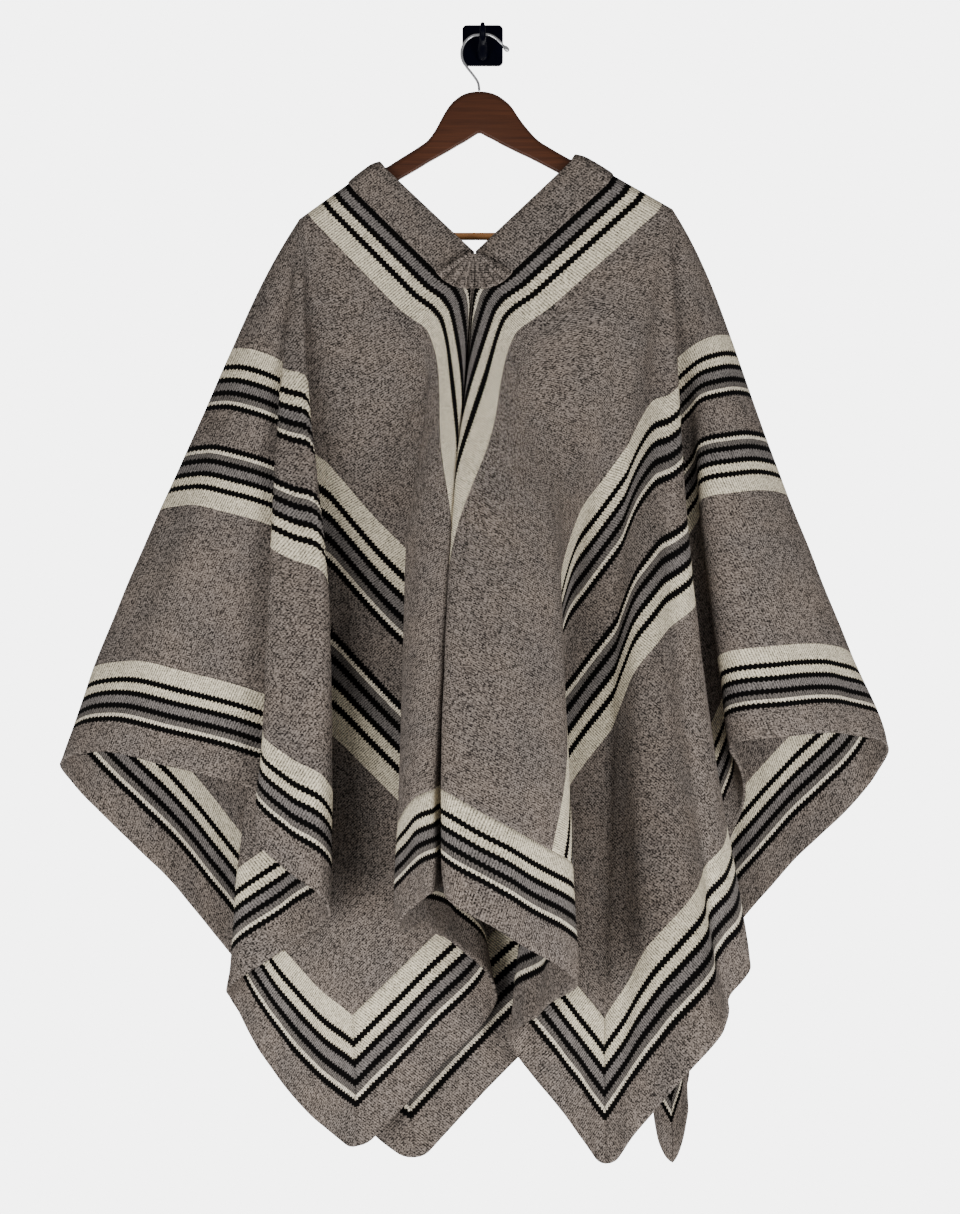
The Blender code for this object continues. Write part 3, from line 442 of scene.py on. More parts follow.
def edge_flat(edge):
    """Flat place of points on the garment's edge."""
    far = np.abs(edge)
    u = np.where(far <= LENGTH, HALF_WIDTH, HALF_WIDTH + LENGTH - far)
    return np.stack([u, np.sign(edge) * np.minimum(far, LENGTH)], -1).astype(float)


def yoke_points(side, flat):
    """Where flat places on the yoke lie over the hanger."""
    u, v = flat[:, :1], flat[:, 1:]
    neck, tip = [np.array((x, -HANG_DEPTH, z), float) for x, z in SHOULDER[side]]
    along = unit(tip - neck)
    up = np.array((-along[2], 0, along[0])) * (1 if along[0] > 0 else -1)
    face = np.where(v >= 0, 1.0, -1.0)
    forward = np.concatenate([0 * face, -face, 0 * face], 1)
    axis = neck + (tip - neck) * u / YOKE - up * FOLD_RADIUS
    quarter = FOLD_RADIUS * math.pi / 2
    turn = np.minimum(abs(v) / quarter, 1) * math.pi / 2
    arc = FOLD_RADIUS * (np.sin(turn) * forward + np.cos(turn) * up)
    feet = []
    for way in (1, -1):
        slit, outer = [np.array((x, -d, z), float) for x, d, z in YOKE_FOOT[side, way]]
        feet.append(slit + (outer - slit) * u / YOKE)
    foot = np.where(face > 0, feet[0], feet[1])
    down = np.maximum(abs(v) - quarter, 0) / (SLIT - quarter)
    return axis + arc + (foot - axis - FOLD_RADIUS * forward) * down


class Drape:
    """How the left or the right length of cloth hangs."""

    def __init__(self, side):
        self.side = side
        self.out = 1 if side == "left" else -1
        rows = FOLDS[side]
        self.start, self.edge = np.array([row[1:3] for row in rows], float).T
        self.foot = np.array([(row[3], -row[4], row[5]) for row in rows], float)
        self.bow = np.array([(row[6], -row[7], row[8]) for row in rows], float)
        self.wake = np.array([WAKE_BACK if a < BACK_START else
                              WAKE_FRONT if a > FRONT_START else WAKE_SIDE for a in self.start])
        self.top = yoke_points(side, start_flat(self.start))
        apart = (self.edge[:, None] - self.edge[None]) / EVEN_SPREAD
        weight = np.exp(-0.5 * apart**2)
        self.even = weight @ self.foot / weight.sum(1, keepdims=True)
        self.even[[0, -1]] = self.foot[[0, -1]]
        self.leans = self.yoke_lean(), self.shoulder_lean()
        self.border = self.border_share(self.edge)
        self.cuts = np.array([row[0] in CREASES for row in rows])
        dice = np.random.default_rng(SEEDS[side])
        self.phases = dice.uniform(0, math.tau, (len(WAVES), 2))
        self.dimples = dice.uniform(-1, 1, (DIMPLES, 4))

    def lean(self, way, amount):
        """How far each rib would lean if it all went the given way."""
        length = np.linalg.norm(self.foot - self.top, axis=1, keepdims=True)
        return amount[:, None] * (unit(way) * length - (self.even - self.top))

    def yoke_lean(self):
        """Share of a rib that goes on as the yoke does, and how far that leans it."""
        u, v = start_flat(self.start).T
        face = np.where(v >= 0, 1.0, -1.0)
        below, above = [yoke_points(self.side, np.stack([u, face * level], 1))
                        for level in (SLIT, YOKE_LEVEL)]
        share, amount = YOKE_LEAN
        keep = np.clip((abs(v) - YOKE_LEVEL) / (SLIT - YOKE_LEVEL), 0, 1) * u / YOKE
        return share, self.lean(below - above, amount * keep)

    def shoulder_lean(self):
        """Share of a sleeve's rib that goes on as the shoulder does, and its lean."""
        neck, tip = [np.array((x, 0, z), float) for x, z in SHOULDER[self.side]]
        share, amount = SHOULDER_LEAN
        near = np.clip(1 - abs(self.start) / SHOULDER_REACH, 0, 1)
        return share, self.lean(tip - neck, amount * near)

    def start_of(self, edge):
        """Flat place where the ribs to these edge places start."""
        return start_flat(np.interp(edge, self.edge, self.start))

    def inner_flat(self, edge):
        """Flat place on the border's inner line that belongs to an edge place."""
        return edge_flat(edge) * (1 - BORDER / HALF_WIDTH, 1 - BORDER / LENGTH)

    def border_share(self, edge):
        """Share of a rib's length that lies inside the border."""
        inner = self.inner_flat(edge)
        a = np.linalg.norm(inner - self.start_of(edge), axis=-1)
        b = np.linalg.norm(edge_flat(edge) - inner, axis=-1)
        return a / (a + b)

    def rib(self, k, level):
        """Points of the ribs k, each at its own level."""
        border = self.border[k]
        t = border * np.minimum(level, 1) + (1 - border) * np.maximum(level - 1, 0)
        t = t[:, None]
        foot = self.even[k] + (self.foot[k] - self.even[k]) * smooth(t, 0, self.wake[k])
        lean = sum(way[k] * t * np.clip(1 - t / share, 0, 1)**2 for share, way in self.leans)
        return self.top[k] + (foot - self.top[k]) * t + self.bow[k] * 4 * t * (1 - t) + lean

    def hung(self, edge, level):
        """Hanging places for distances along the edge, each at its level."""
        last = len(self.edge) - 1
        i = np.clip(np.searchsorted(self.edge, edge, side="right") - 1, 0, last - 1)
        ribs = [np.clip(i + k, 0, last) for k in (-1, 0, 1, 2)]
        before, near, far, after = [self.rib(k, level) for k in ribs]
        gap_before, step, gap_after = np.diff([self.edge[k] for k in ribs], axis=0)[..., None]
        slope = (far - near) / step
        slope_before = (near - before) / np.maximum(gap_before, 1e-6)
        slope_after = (after - far) / np.maximum(gap_after, 1e-6)
        pull = (slope_before * step + slope * gap_before) / (step + gap_before)
        push = (slope * gap_after + slope_after * step) / (step + gap_after)
        pull = np.where(self.cuts[i][:, None], slope, pull)
        push = np.where(self.cuts[i + 1][:, None], slope, push)
        return between(near, far, pull, push, (edge - self.edge[i])[:, None] / step, step)

    def find(self, flat):
        """Distance along the edge and level of flat places outside the yoke."""
        u, v = flat.T
        past_wrist = (u - (HALF_WIDTH - BORDER)) / BORDER
        past_hem = (abs(v) - (LENGTH - BORDER)) / BORDER
        past = np.clip(np.maximum(past_wrist, past_hem), 0, 1)
        shrink_u, shrink_v = [1 - BORDER / size * (1 - past) for size in (HALF_WIDTH, LENGTH)]
        by_wrist = np.clip(v / shrink_v, -LENGTH, LENGTH)
        by_hem = np.sign(v) * (LENGTH + HALF_WIDTH - u / shrink_u)
        in_border = np.where(past_wrist >= past_hem, by_wrist, by_hem)
        low = np.full(len(flat), self.edge[0])
        high = np.full(len(flat), self.edge[-1])
        for _ in range(HALVINGS):
            middle = (low + high) / 2
            start = self.start_of(middle)
            way, reach = self.inner_flat(middle) - start, flat - start
            beyond = way[:, 0] * reach[:, 1] - way[:, 1] * reach[:, 0] > 0
            low = np.where(beyond, middle, low)
            high = np.where(beyond, high, middle)
        middle = (low + high) / 2
        start = self.start_of(middle)
        reach = np.linalg.norm(flat - start, axis=1)
        level = reach / np.linalg.norm(self.inner_flat(middle) - start, axis=1)
        edge = np.where(past > 0, in_border, middle)
        return edge, np.where(past > 0, 1 + past, np.clip(level, 0, 1))

    def ripple(self, edge, level, flat):
        """Height of the soft waves and dimples at a place."""
        height = np.zeros(len(edge))
        for (length, most, lean, first, full), phase in zip(WAVES, self.phases):
            turns = edge / length * math.tau + lean * math.tau * level + phase[0]
            swell = np.sin(edge / (length * SWELL_LENGTHS) * math.tau + phase[1])
            swell = 1 - SWELL + SWELL * swell
            height += most * swell * smooth(level, first, full) * np.sin(turns)
        u, v = flat.T
        for a, b, c, d in self.dimples:
            across = u * (DIMPLE_TURN[0] + DIMPLE_SPREAD * a) + v * DIMPLE_SLANT * b
            down = v * (DIMPLE_TURN[1] + DIMPLE_SPREAD * d) + DIMPLE_SHIFT * a
            height += DIMPLE_HEIGHT * np.sin(across + DIMPLE_SHIFT * c) * np.sin(down)
        return height * smooth(level, 0, 0.5)

    def surface(self, flat):
        """Middle surface of the cloth, without its waves."""
        inside = (flat[:, 0] <= YOKE) & (abs(flat[:, 1]) <= SLIT)
        points = yoke_points(self.side, np.minimum(flat, (YOKE, SLIT)))
        edge, level = self.find(flat)
        top = self.hung(edge, np.zeros(len(edge)))
        mend = yoke_points(self.side, self.start_of(edge)) - top
        mend *= (1 - smooth(level, 0, MEND_LEVEL))[:, None]
        outside = self.hung(edge, level) + mend
        return np.where(inside[:, None], points, outside), edge, np.where(inside, 0, level)

    def place(self, flat):
        """Points and outward normals for flat places, in millimetres."""
        points, edge, level = self.surface(flat)
        nudge = 1.5
        sides = []
        for way in ((nudge, 0), (-nudge, 0), (0, nudge), (0, -nudge)):
            moved = np.clip(flat + way, (0, -LENGTH), (HALF_WIDTH, LENGTH))
            sides.append(self.surface(moved)[0])
        normal = unit(np.cross(sides[0] - sides[1], sides[2] - sides[3])) * self.out
        height = self.ripple(edge, level, flat) - EDGE_ROLL * smooth(level, ROLL_LEVEL, 2)**2
        height *= smooth(flat[:, 0], 0, SEAM_CALM)
        return points + normal * height[:, None], normal


# ---- Meshes ----
def skin(name, rows, uvs=None, around=False):
    """A mesh laid over rows of points in millimetres, from a grid.

    Rows that go around make a tube with closed ends.  The UV map takes a pair
    in metres for each point.
    """
    rows = np.asarray(rows, float)
    uvs = np.zeros((*rows.shape[:2], 2)) if uvs is None else uvs
    if around:
        rows, uvs = [np.concatenate([grid, grid[:, :1]], 1) for grid in (rows, uvs)]
    high, wide = rows.shape[:2]
    work = bmesh.new()
    bmesh.ops.create_grid(work, x_segments=wide - 1, y_segments=high - 1, size=1)
    work.verts.ensure_lookup_table()
    for vert in work.verts:
        i = round((vert.co.y + 1) / 2 * (high - 1))
        j = round((vert.co.x + 1) / 2 * (wide - 1))
        vert.co = rows[i, j] * MM
        vert.index = i * wide + j
    layer = work.loops.layers.uv.new("flat")
    flat = uvs.reshape(-1, 2)
    for face in work.faces:
        for loop in face.loops:
            loop[layer].uv = flat[loop.vert.index]
    if around:
        bmesh.ops.remove_doubles(work, verts=work.verts, dist=1e-6)
        bmesh.ops.holes_fill(work, edges=work.edges)
        bmesh.ops.recalc_face_normals(work, faces=work.faces)
    return finished(work, name)


def finished(work, name):
    """The mesh of a bmesh, shaded smooth."""
    mesh = bpy.data.meshes.new(name)
    work.to_mesh(mesh)
    work.free()
    mesh.shade_smooth()
    return mesh


def link(name, data):
    """A new object of the scene."""
    made = bpy.data.objects.new(name, data)
    bpy.context.scene.collection.objects.link(made)
    return made


def show(name, mesh, finish, slot, *stands_for):
    """Put a piece in the scene, riding on the one body of the object."""
    piece = link(name, mesh)
    mesh.materials.append(finish)
    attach(piece, "root")
    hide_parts(*stands_for)
    return piece


def thicken(piece, wall):
    """Give a cloth surface its wall, half to each side of it."""
    solid = piece.modifiers.new("wall", "SOLIDIFY")
    solid.thickness = wall
    solid.offset = 0
    solid.use_rim = True
    solid.use_quality_normals = True


def flat_map(side, flat):
    """UV of flat places in metres: as seen on the front of the garment."""
    way = -1 if side == "left" else 1
    return flat * (way * MM, MM)


def round_corner(flat):
    """Flat places moved so that the cloth's square corner becomes a round one."""
    u, v = flat[:, 0], abs(flat[:, 1])
    a = np.clip((u - HALF_WIDTH + CORNER) / CORNER, 0, 1)
    b = np.clip((v - LENGTH + CORNER) / CORNER, 0, 1)
    round_u = HALF_WIDTH - CORNER + CORNER * a * np.sqrt(1 - b * b / 2)
    round_v = LENGTH - CORNER + CORNER * b * np.sqrt(1 - a * a / 2)
    moved = np.stack([round_u, np.sign(flat[:, 1]) * round_v], 1)
    return np.where(((a > 0) & (b > 0))[:, None], moved, flat)


def laid(side, drape, u, v):
    """Rows of hanging points and of UVs for a grid of flat places."""
    flat = round_corner(np.stack([u, v], -1).reshape(-1, 2))
    points = drape.place(flat)[0].reshape(*u.shape, 3)
    flat = flat.reshape(*u.shape, 2)
    if side == "left":
        points, flat = points[:, ::-1], flat[:, ::-1]
    return points, flat_map(side, flat)


def body_rows(side, drape, step):
    """One length of cloth: its plain part, and the border along the wrist."""
    inner = HALF_WIDTH - BORDER
    u = spaced([0, YOKE, inner, HALF_WIDTH], step)
    v = spaced([BORDER - LENGTH, -SLIT, SLIT, LENGTH - BORDER], step)
    reach = 1 + np.maximum(u - inner, 0) / (LENGTH - BORDER)
    return laid(side, drape, np.tile(u, (len(v), 1)), v[:, None] * reach)


def hem_rows(side, way, drape, step):
    """Border strip across the end of a length, mitred at the corner."""
    inner = HALF_WIDTH - BORDER
    out = spaced([0, BORDER], step)[:, None]
    u = spaced([0, YOKE, inner], step) * (inner + out) / inner
    v = way * np.tile(LENGTH - BORDER + out, (1, u.shape[1]))
    return laid(side, drape, u[::way], v[::way])


# ---- Collar and fan ----
def collar_outline():
    """Outline of the folded band, as (distance from the cut edge, offset)."""
    outer = [(u, COLLAR_FACE - sink) for u, sink in COLLAR_OUTSIDE]
    inner = COLLAR_INSIDE
    back = [(u, -offset) for u, offset in outer[::-1] + inner[:0:-1]]
    return np.array(outer + [(-COLLAR_FOLD, 0)] + back + inner, float)


def collar_rows(side):
    """Rings of the band round one side of the slit, from front V to back V."""
    outline = collar_outline()
    v = np.concatenate([spaced([a, b], step) for a, b, step in COLLAR_STRETCHES])
    u = np.tile(outline[:, 0], (len(v), 1))
    ends = SLIT - 4 * SEAM + np.minimum(u, -COLLAR_BACK)
    flat = np.stack([u, v[:, None] * ends / SLIT], -1)
    spots = flat.reshape(-1, 2)
    across, down = [yoke_points(side, spots + nudge) - yoke_points(side, spots - nudge)
                    for nudge in np.array(((1, 0), (0, 0.5)))]
    normal = unit(np.cross(across, down)) * (1 if side == "left" else -1)
    offset = np.tile(outline[:, 1], len(v))[:, None]
    points = yoke_points(side, spots) + normal * offset
    return points.reshape(len(v), -1, 3), flat_map(side, flat)


def fan_plane(node):
    """The leaning plane that a node's points lie in, either side of its middle."""
    points = np.array([vert.co for vert in node.data.vertices]) / MM
    x0 = YOKE_FOOT["left", 1][0][0]
    known = np.stack([np.ones(len(points)), abs(points[:, 0] - x0), points[:, 2]], 1)
    return np.linalg.lstsq(known, points[:, 1], rcond=None)[0]


def fan_rows(plane):
    """Rows of points of the pleated fan, from its gathered point to its edge."""
    x0, _, z0 = YOKE_FOOT["left", 1][0]
    top = z0 + FAN_RISE
    turn = np.radians(FAN_SPREAD) * np.linspace(-1, 1, 16 * FAN_PLEATS + 1)
    reach = np.linspace(FAN_START, 1, 25)[:, None]
    radius = FAN_RADIUS * (1 + FAN_FLARE * abs(np.sin(turn))) * reach
    x = x0 + radius * np.sin(turn)
    z = top - radius * np.cos(turn)
    knots = np.linspace(turn[0], turn[-1], 11)
    dice = np.random.default_rng(SEEDS["fan"])
    shifts = dice.uniform(-FAN_UNEVEN, FAN_UNEVEN, len(knots)) * (abs(knots) > 0.1)
    waves = np.linspace(-0.5, 0.5, len(turn)) * FAN_PLEATS * math.pi
    pleat = abs(np.sin(waves + np.interp(turn, knots, shifts)))**FAN_PLEAT_ROUND
    depth = FAN_PLEAT_DEPTH * (0.15 + 0.85 * reach) * (pleat - FAN_BACK)
    crease_depth, crease_width = FAN_CREASE
    crease = crease_depth * np.exp(-(np.degrees(turn) / crease_width)**2)
    crease = crease * smooth(reach, FAN_START, 0.5)
    y = plane[0] + plane[1] * abs(x - x0) + plane[2] * z - depth + crease
    return np.stack([x, y, z], -1), np.stack([x - x0, z - top], -1) * MM


# ---- Hanger, bar, hook ----
def arm_section(side, u, half):
    """Section of the hanger's arm under the cloth: x, top, bottom, half its thickness."""
    (neck_x, neck_z), (tip_x, tip_z) = SHOULDER[side]
    span = math.hypot(tip_x - neck_x, tip_z - neck_z)
    level, slope = abs(tip_x - neck_x) / span, (neck_z - tip_z) / span
    out = math.copysign(1, tip_x - neck_x)
    x = neck_x + (tip_x - neck_x) * u / YOKE - out * slope * FOLD_RADIUS
    top = neck_z + (tip_z - neck_z) * u / YOKE - level * FOLD_RADIUS + half / level
    return x, top, top - ARM_DROP, half


def socket_sections(side):
    """Sections of the arm's end, which comes down round the bar; the second is its face."""
    out = -1 if side == "left" else 1
    foot = BAR_HEIGHT - BAR_RADIUS - SOCKET_WALL
    tip_u = YOKE - TIP_BACK
    tip = arm_section(side, tip_u, ARM_HALF_SHOULDER)
    reach = abs(tip[0] - arm_section(side, 0, ARM_HALF_SHOULDER)[0])
    socket_u = tip_u * (1 - SOCKET_LENGTH / reach)
    face, middle = [arm_section(side, u, ARM_HALF_SHOULDER)
                    for u in (socket_u, (socket_u + tip_u) / 2)]
    sections = [(face[0] - out * SOCKET_STEP, *face[1:])]
    sections += [(x, top, foot, half) for x, top, _, half in (face, middle)]
    return sections + [(tip[0] + out * further, tip[1] - down, foot + lift, tip[3] - thinner)
                       for further, down, lift, thinner in TIP_ROUNDING]


def arm_sections(side):
    """Sections of the hanger under the cloth, from the neck outwards."""
    places = ((6, ARM_HALF), (COLLAR_WIDTH + 8, ARM_HALF),
              (COLLAR_WIDTH + 18, ARM_HALF_SHOULDER), (64, ARM_HALF_SHOULDER))
    return [arm_section(side, u, half) for u, half in places] + socket_sections(side)


def hanger_rows():
    """Rings of the wooden hanger from its left tip to its right."""
    bare = np.array(HANGER_BARE, float)
    x = spaced(bare[:, 0], 2.5)
    edges = curve_through(bare[:, 0], bare[:, 1:], x)
    middle = [(a, top, low, ARM_HALF) for a, (top, low) in zip(x, edges)]
    rings = []
    for x, top, bottom, half in arm_sections("left")[::-1] + middle + arm_sections("right"):
        crown = min(half * ARM_CROWN, (top - bottom) / 2)
        cut = min(ARM_EDGE, half / 2)
        ring = [(half * math.cos(a), top - crown + crown * math.sin(a))
                for a in np.linspace(0, math.pi, 19)]
        corner = [(half - cut + cut * math.cos(a), bottom + cut - cut * math.sin(a))
                  for a in np.linspace(0, math.pi / 2, 6)]
        ring += [(-y, z) for y, z in corner] + corner[::-1]
        rings.append([(x, y - HANG_DEPTH, z) for y, z in ring])
    return rings


def bar_rows():
    """Rings of the trouser bar, with softly rounded ends."""
    left = socket_sections("left")[1][0] + BAR_CLEAR
    right = socket_sections("right")[1][0] - BAR_CLEAR
    stations = [(left + a, share) for a, share in BAR_END]
    stations += [(x, 1.0) for x in spaced([left + 12, right - 12], 20)]
    stations += [(right - a, share) for a, share in BAR_END[::-1]]
    path = [(x, -HANG_DEPTH, BAR_HEIGHT, BAR_RADIUS * share) for x, share in stations]
    return tube_rows(path, (0, 0, 1), 48)


def tube_rows(path, flat_way, sides):
    """Rings round a path of (x, y, z, radius) that lies in one plane."""
    path = np.asarray(path, float)
    along = unit(np.gradient(path[:, :3], axis=0))
    beside = unit(np.cross(along, flat_way))
    turns = np.linspace(0, math.tau, sides, endpoint=False)[None, :, None]
    round_it = np.cos(turns) * beside[:, None] + np.sin(turns) * np.array(flat_way)
    return path[:, None, :3] + round_it * path[:, None, 3:]


def smooth_path(given, step):
    """A denser path through given rows of x, y, z and radius."""
    given = np.array(given, float)
    steps = np.linalg.norm(np.diff(given[:, :3], axis=0), axis=1)
    along = np.concatenate([[0], np.cumsum(steps)])
    return curve_through(along, given, spaced(along, step))


def plate_mesh(name):
    """Square plate with rounded corners and edges, and its turned-up prong."""
    work = bmesh.new()
    bmesh.ops.create_cube(work, size=1)
    for vert in work.verts:
        vert.co = Vector((vert.co.x * PLATE, (vert.co.y - 0.5) * PLATE_DEPTH, vert.co.z * PLATE)) * MM
    corners = [e for e in work.edges if abs(e.verts[0].co.y - e.verts[1].co.y) > 1e-5]
    bmesh.ops.bevel(work, geom=corners, offset=PLATE_CORNER * MM, segments=10, profile=0.5,
                    affect="EDGES", material=-1)
    front = -PLATE_DEPTH * MM
    rim = [e for e in work.edges if all(abs(v.co.y - front) < 1e-6 for v in e.verts)
           and any(abs(f.normal.y) < 0.5 for f in e.link_faces)]
    bmesh.ops.bevel(work, geom=rim, offset=PLATE_RIM * MM, segments=4, profile=0.5,
                    affect="EDGES", material=-1)
    prong = smooth_path([(0, -depth, z, radius) for depth, z, radius in PRONG], 1.5)
    cap = [(0, prong[-1, 1], prong[-1, 2] + further, prong[-1, 3] * share)
           for further, share in PRONG_CAP]
    rod = skin(name + "_prong", tube_rows(np.concatenate([prong, cap]), (1, 0, 0), 32), around=True)
    work.from_mesh(rod)
    bpy.data.meshes.remove(rod)
    mesh = finished(work, name)
    mesh.set_sharp_from_angle(angle=math.radians(35))
    return mesh


# ---- Shader maths ----
def reckoned(operation, swapped=False):
    """A method of Value that adds one Math node, fed by the value and another."""
    def method(self, other):
        pair = (other, self) if swapped else (self, other)
        return self.maths(operation, *pair)
    return method


class Value:
    """A shader socket that can be reckoned with."""

    __add__ = reckoned("ADD")
    __radd__ = reckoned("ADD", swapped=True)
    __sub__ = reckoned("SUBTRACT")
    __rsub__ = reckoned("SUBTRACT", swapped=True)
    __mul__ = reckoned("MULTIPLY")
    __rmul__ = reckoned("MULTIPLY", swapped=True)
    __truediv__ = reckoned("DIVIDE")
    least = reckoned("MINIMUM")
    most = reckoned("MAXIMUM")

    def __init__(self, tree, socket=None):
        self.tree = tree
        self.socket = socket

    def node(self, kind, settings=None, **inputs):
        """Any other node of the same tree; i0, i1 are its sockets by number."""
        made = self.tree.nodes.new(kind)
        for key, value in (settings or {}).items():
            setattr(made, key, value)
        for key, value in inputs.items():
            place = int(key[1:]) if key[1:].isdigit() else key.replace("_", " ")
            self.feed(made.inputs[place], value)
        return made

    def feed(self, socket, value):
        if isinstance(value, Value):
            self.tree.links.new(value.socket, socket)
        else:
            socket.default_value = value

    def of(self, socket):
        return Value(self.tree, socket)

    def maths(self, operation, *values):
        made = self.node("ShaderNodeMath", {"operation": operation})
        for socket, value in zip(made.inputs, values):
            self.feed(socket, value)
        return self.of(made.outputs[0])

    def __abs__(self):
        return self.maths("ABSOLUTE", self)

    def sine(self, pitch):
        """Sine of this length, with the given pitch."""
        return self.maths("SINE", self * (math.tau / pitch))

    def zigzag(self, pitch):
        """0 to 1 and back once in each pitch."""
        return self.maths("PINGPONG", self * (2 / pitch), 1.0)

    def rise(self, low, high):
        """0 below low and 1 above high, and a straight rise between."""
        made = self.node("ShaderNodeMapRange", {"clamp": True}, From_Min=low, From_Max=high,
                         To_Min=0.0, To_Max=1.0, Value=self)
        return self.of(made.outputs["Result"])


def colour_mix(share, under, over, blend="MIX"):
    """Colours or colour sockets mixed; share or under is a Value."""
    any_value = share if isinstance(share, Value) else under
    made = any_value.node("ShaderNodeMix", {"data_type": "RGBA", "blend_type": blend}, Factor=share)
    for name, colour in (("A", under), ("B", over)):
        socket = next(s for s in made.inputs if s.name == name and s.type == "RGBA")
        any_value.feed(socket, colour if isinstance(colour, Value) else (*colour, 1))
    return any_value.of(next(s for s in made.outputs if s.type == "RGBA"))


def from_srgb(*parts):
    """Linear colour of 0-255 parts."""
    return tuple((p / 255 / 12.92) if p < 11 else ((p / 255 + 0.055) / 1.055)**2.4 for p in parts)


class Finish(Value):
    """A material with a principled shader, whose nodes it makes."""

    def __init__(self, name, **inputs):
        self.material = bpy.data.materials.new(name)
        self.material.use_nodes = True
        super().__init__(self.material.node_tree)
        self.set(**inputs)

    def set(self, **inputs):
        """Give the shader's inputs numbers, colours or Values."""
        shader = self.tree.nodes["Principled BSDF"]
        for key, value in inputs.items():
            self.feed(shader.inputs[key.replace("_", " ")], value)

    def in_millimetres(self, socket):
        """Coordinates as three Values and a vector."""
        big = self.node("ShaderNodeVectorMath", {"operation": "SCALE"}, i0=self.of(socket),
                        Scale=1 / MM)
        parts = self.node("ShaderNodeSeparateXYZ", None, i0=self.of(big.outputs[0]))
        return [self.of(s) for s in (*parts.outputs, big.outputs[0])]

    def flat(self):
        """The cloth's flat coordinates."""
        return self.in_millimetres(self.node("ShaderNodeUVMap", {"uv_map": "flat"}).outputs["UV"])

    def body_place(self):
        """Object coordinates."""
        return self.in_millimetres(self.node("ShaderNodeTexCoord").outputs["Object"])

    def stretched(self, vector, x, y, z):
        made = self.node("ShaderNodeVectorMath", {"operation": "MULTIPLY"}, i0=vector, i1=(x, y, z))
        return self.of(made.outputs[0])

    def noise(self, vector, size, detail=2.0, rough=0.5, kind="3D"):
        """Noise from 0 to 1 with lumps of about the given size."""
        made = self.node("ShaderNodeTexNoise", {"noise_dimensions": kind}, Vector=vector,
                         Scale=1.0 / size, Detail=detail, Roughness=rough)
        return self.of(made.outputs["Fac"])

    def speckle(self, x, y, wide, high):
        """A random value from 0 to 1 for each short float of yarn."""
        column = self.maths("FLOOR", x / wide)
        row = self.maths("FLOOR", y / high + column * 0.37)
        cell = self.node("ShaderNodeCombineXYZ", None, X=column, Y=row)
        made = self.node("ShaderNodeTexWhiteNoise", {"noise_dimensions": "2D"},
                         Vector=self.of(cell.outputs[0]))
        return self.of(made.outputs["Value"])

    def bump(self, height, depth, strength):
        """Relief of the given depth in millimetres."""
        made = self.node("ShaderNodeBump", None, Strength=strength, Distance=depth * MM,
                         Height=height)
        self.set(Normal=self.of(made.outputs["Normal"]))


def pattern_place(stripes, across, down):
    """Distance from the plain edge of the stripes that a place lies in."""
    if stripes == "hem":
        return LENGTH - abs(down)
    u = abs(across)
    below = abs(down).rise(*SLIT_END)
    centre = u + YOKE_EDGE + below * (CENTRE_EDGE - YOKE_EDGE)
    return (HALF_WIDTH - u).least(centre).least(abs(u - MID_BAND) + MID_EDGE)


def woven(name, stripes, wools):
    """Twilled wool; stripes is the place of the stripes: body, hem or none."""
    made = Finish(name, Roughness=0.92, Specular_IOR_Level=0.08)
    across, down, _, spot = made.flat()
    along = across if stripes == "hem" else down
    ribs = along.sine(RIB)
    twill = (across + down).sine(RIB * 2)
    flecks = made.speckle(across, down, FLECK, RIB / 2) - 0.5
    yarns = made.noise(made.stretched(spot, 1, 0.3, 1), 2.4, 1.0, 0.5, "2D") - 0.5
    cloudy = made.noise(spot, 60, 3.0, 0.6, "2D")
    uneven = yarns * YARN_TONE + (cloudy - 0.5) * YARN_TONE
    plain_tone = (flecks * PLAIN_FLECKS + ribs * PLAIN_RIBS + across.sine(RIB) * 0.12
                  + twill * 0.08 + uneven)
    plain = colour_mix(cloudy.rise(0.3, 0.7), wools.plain, wools.plain_warm)
    height = ribs * 0.4 + twill * 0.2 + flecks * 0.8 + yarns
    colour, tone = plain, plain_tone

    if stripes != "none":
        place = pattern_place(stripes, across, down)
        band_tone = ribs * BAND_RIBS + flecks * BAND_FLECKS + uneven
        for start, wool in STRIPES:
            new = plain if wool == "plain" else getattr(wools, wool)
            colour = colour_mix(place.rise(start - STRIPE_BLUR, start + STRIPE_BLUR), colour, new)
        in_band = (place.rise(PLAIN_EDGE - STRIPE_BLUR, PLAIN_EDGE + STRIPE_BLUR)
                   * (1 - place.rise(BORDER - STRIPE_BLUR, BORDER + STRIPE_BLUR)))
        tone = plain_tone + (band_tone - plain_tone) * in_band
        shifted = place + (along.zigzag(TOOTH) - 0.5) * TOOTH_HEIGHT
        gap = abs(shifted - BLACK_LINES[0])
        for line in BLACK_LINES[1:]:
            gap = gap.least(abs(shifted - line))
        black = 1 - gap.rise(BLACK_HALF - STRIPE_BLUR, BLACK_HALF + STRIPE_BLUR)
        colour = colour_mix(black, colour, wools.black)
        tone = tone * (1 - black * 0.6)
        height = height + (ribs * 0.3 - twill * 0.2) * in_band + black * 0.6

    shade = (tone + 1).most(DARKEST)
    grey = made.node("ShaderNodeCombineColor", None, Red=shade, Green=shade, Blue=shade)
    made.set(Base_Color=colour_mix(1.0, colour, made.of(grey.outputs[0]), "MULTIPLY"))
    made.bump(height, 0.35, 0.7)
    return made.material


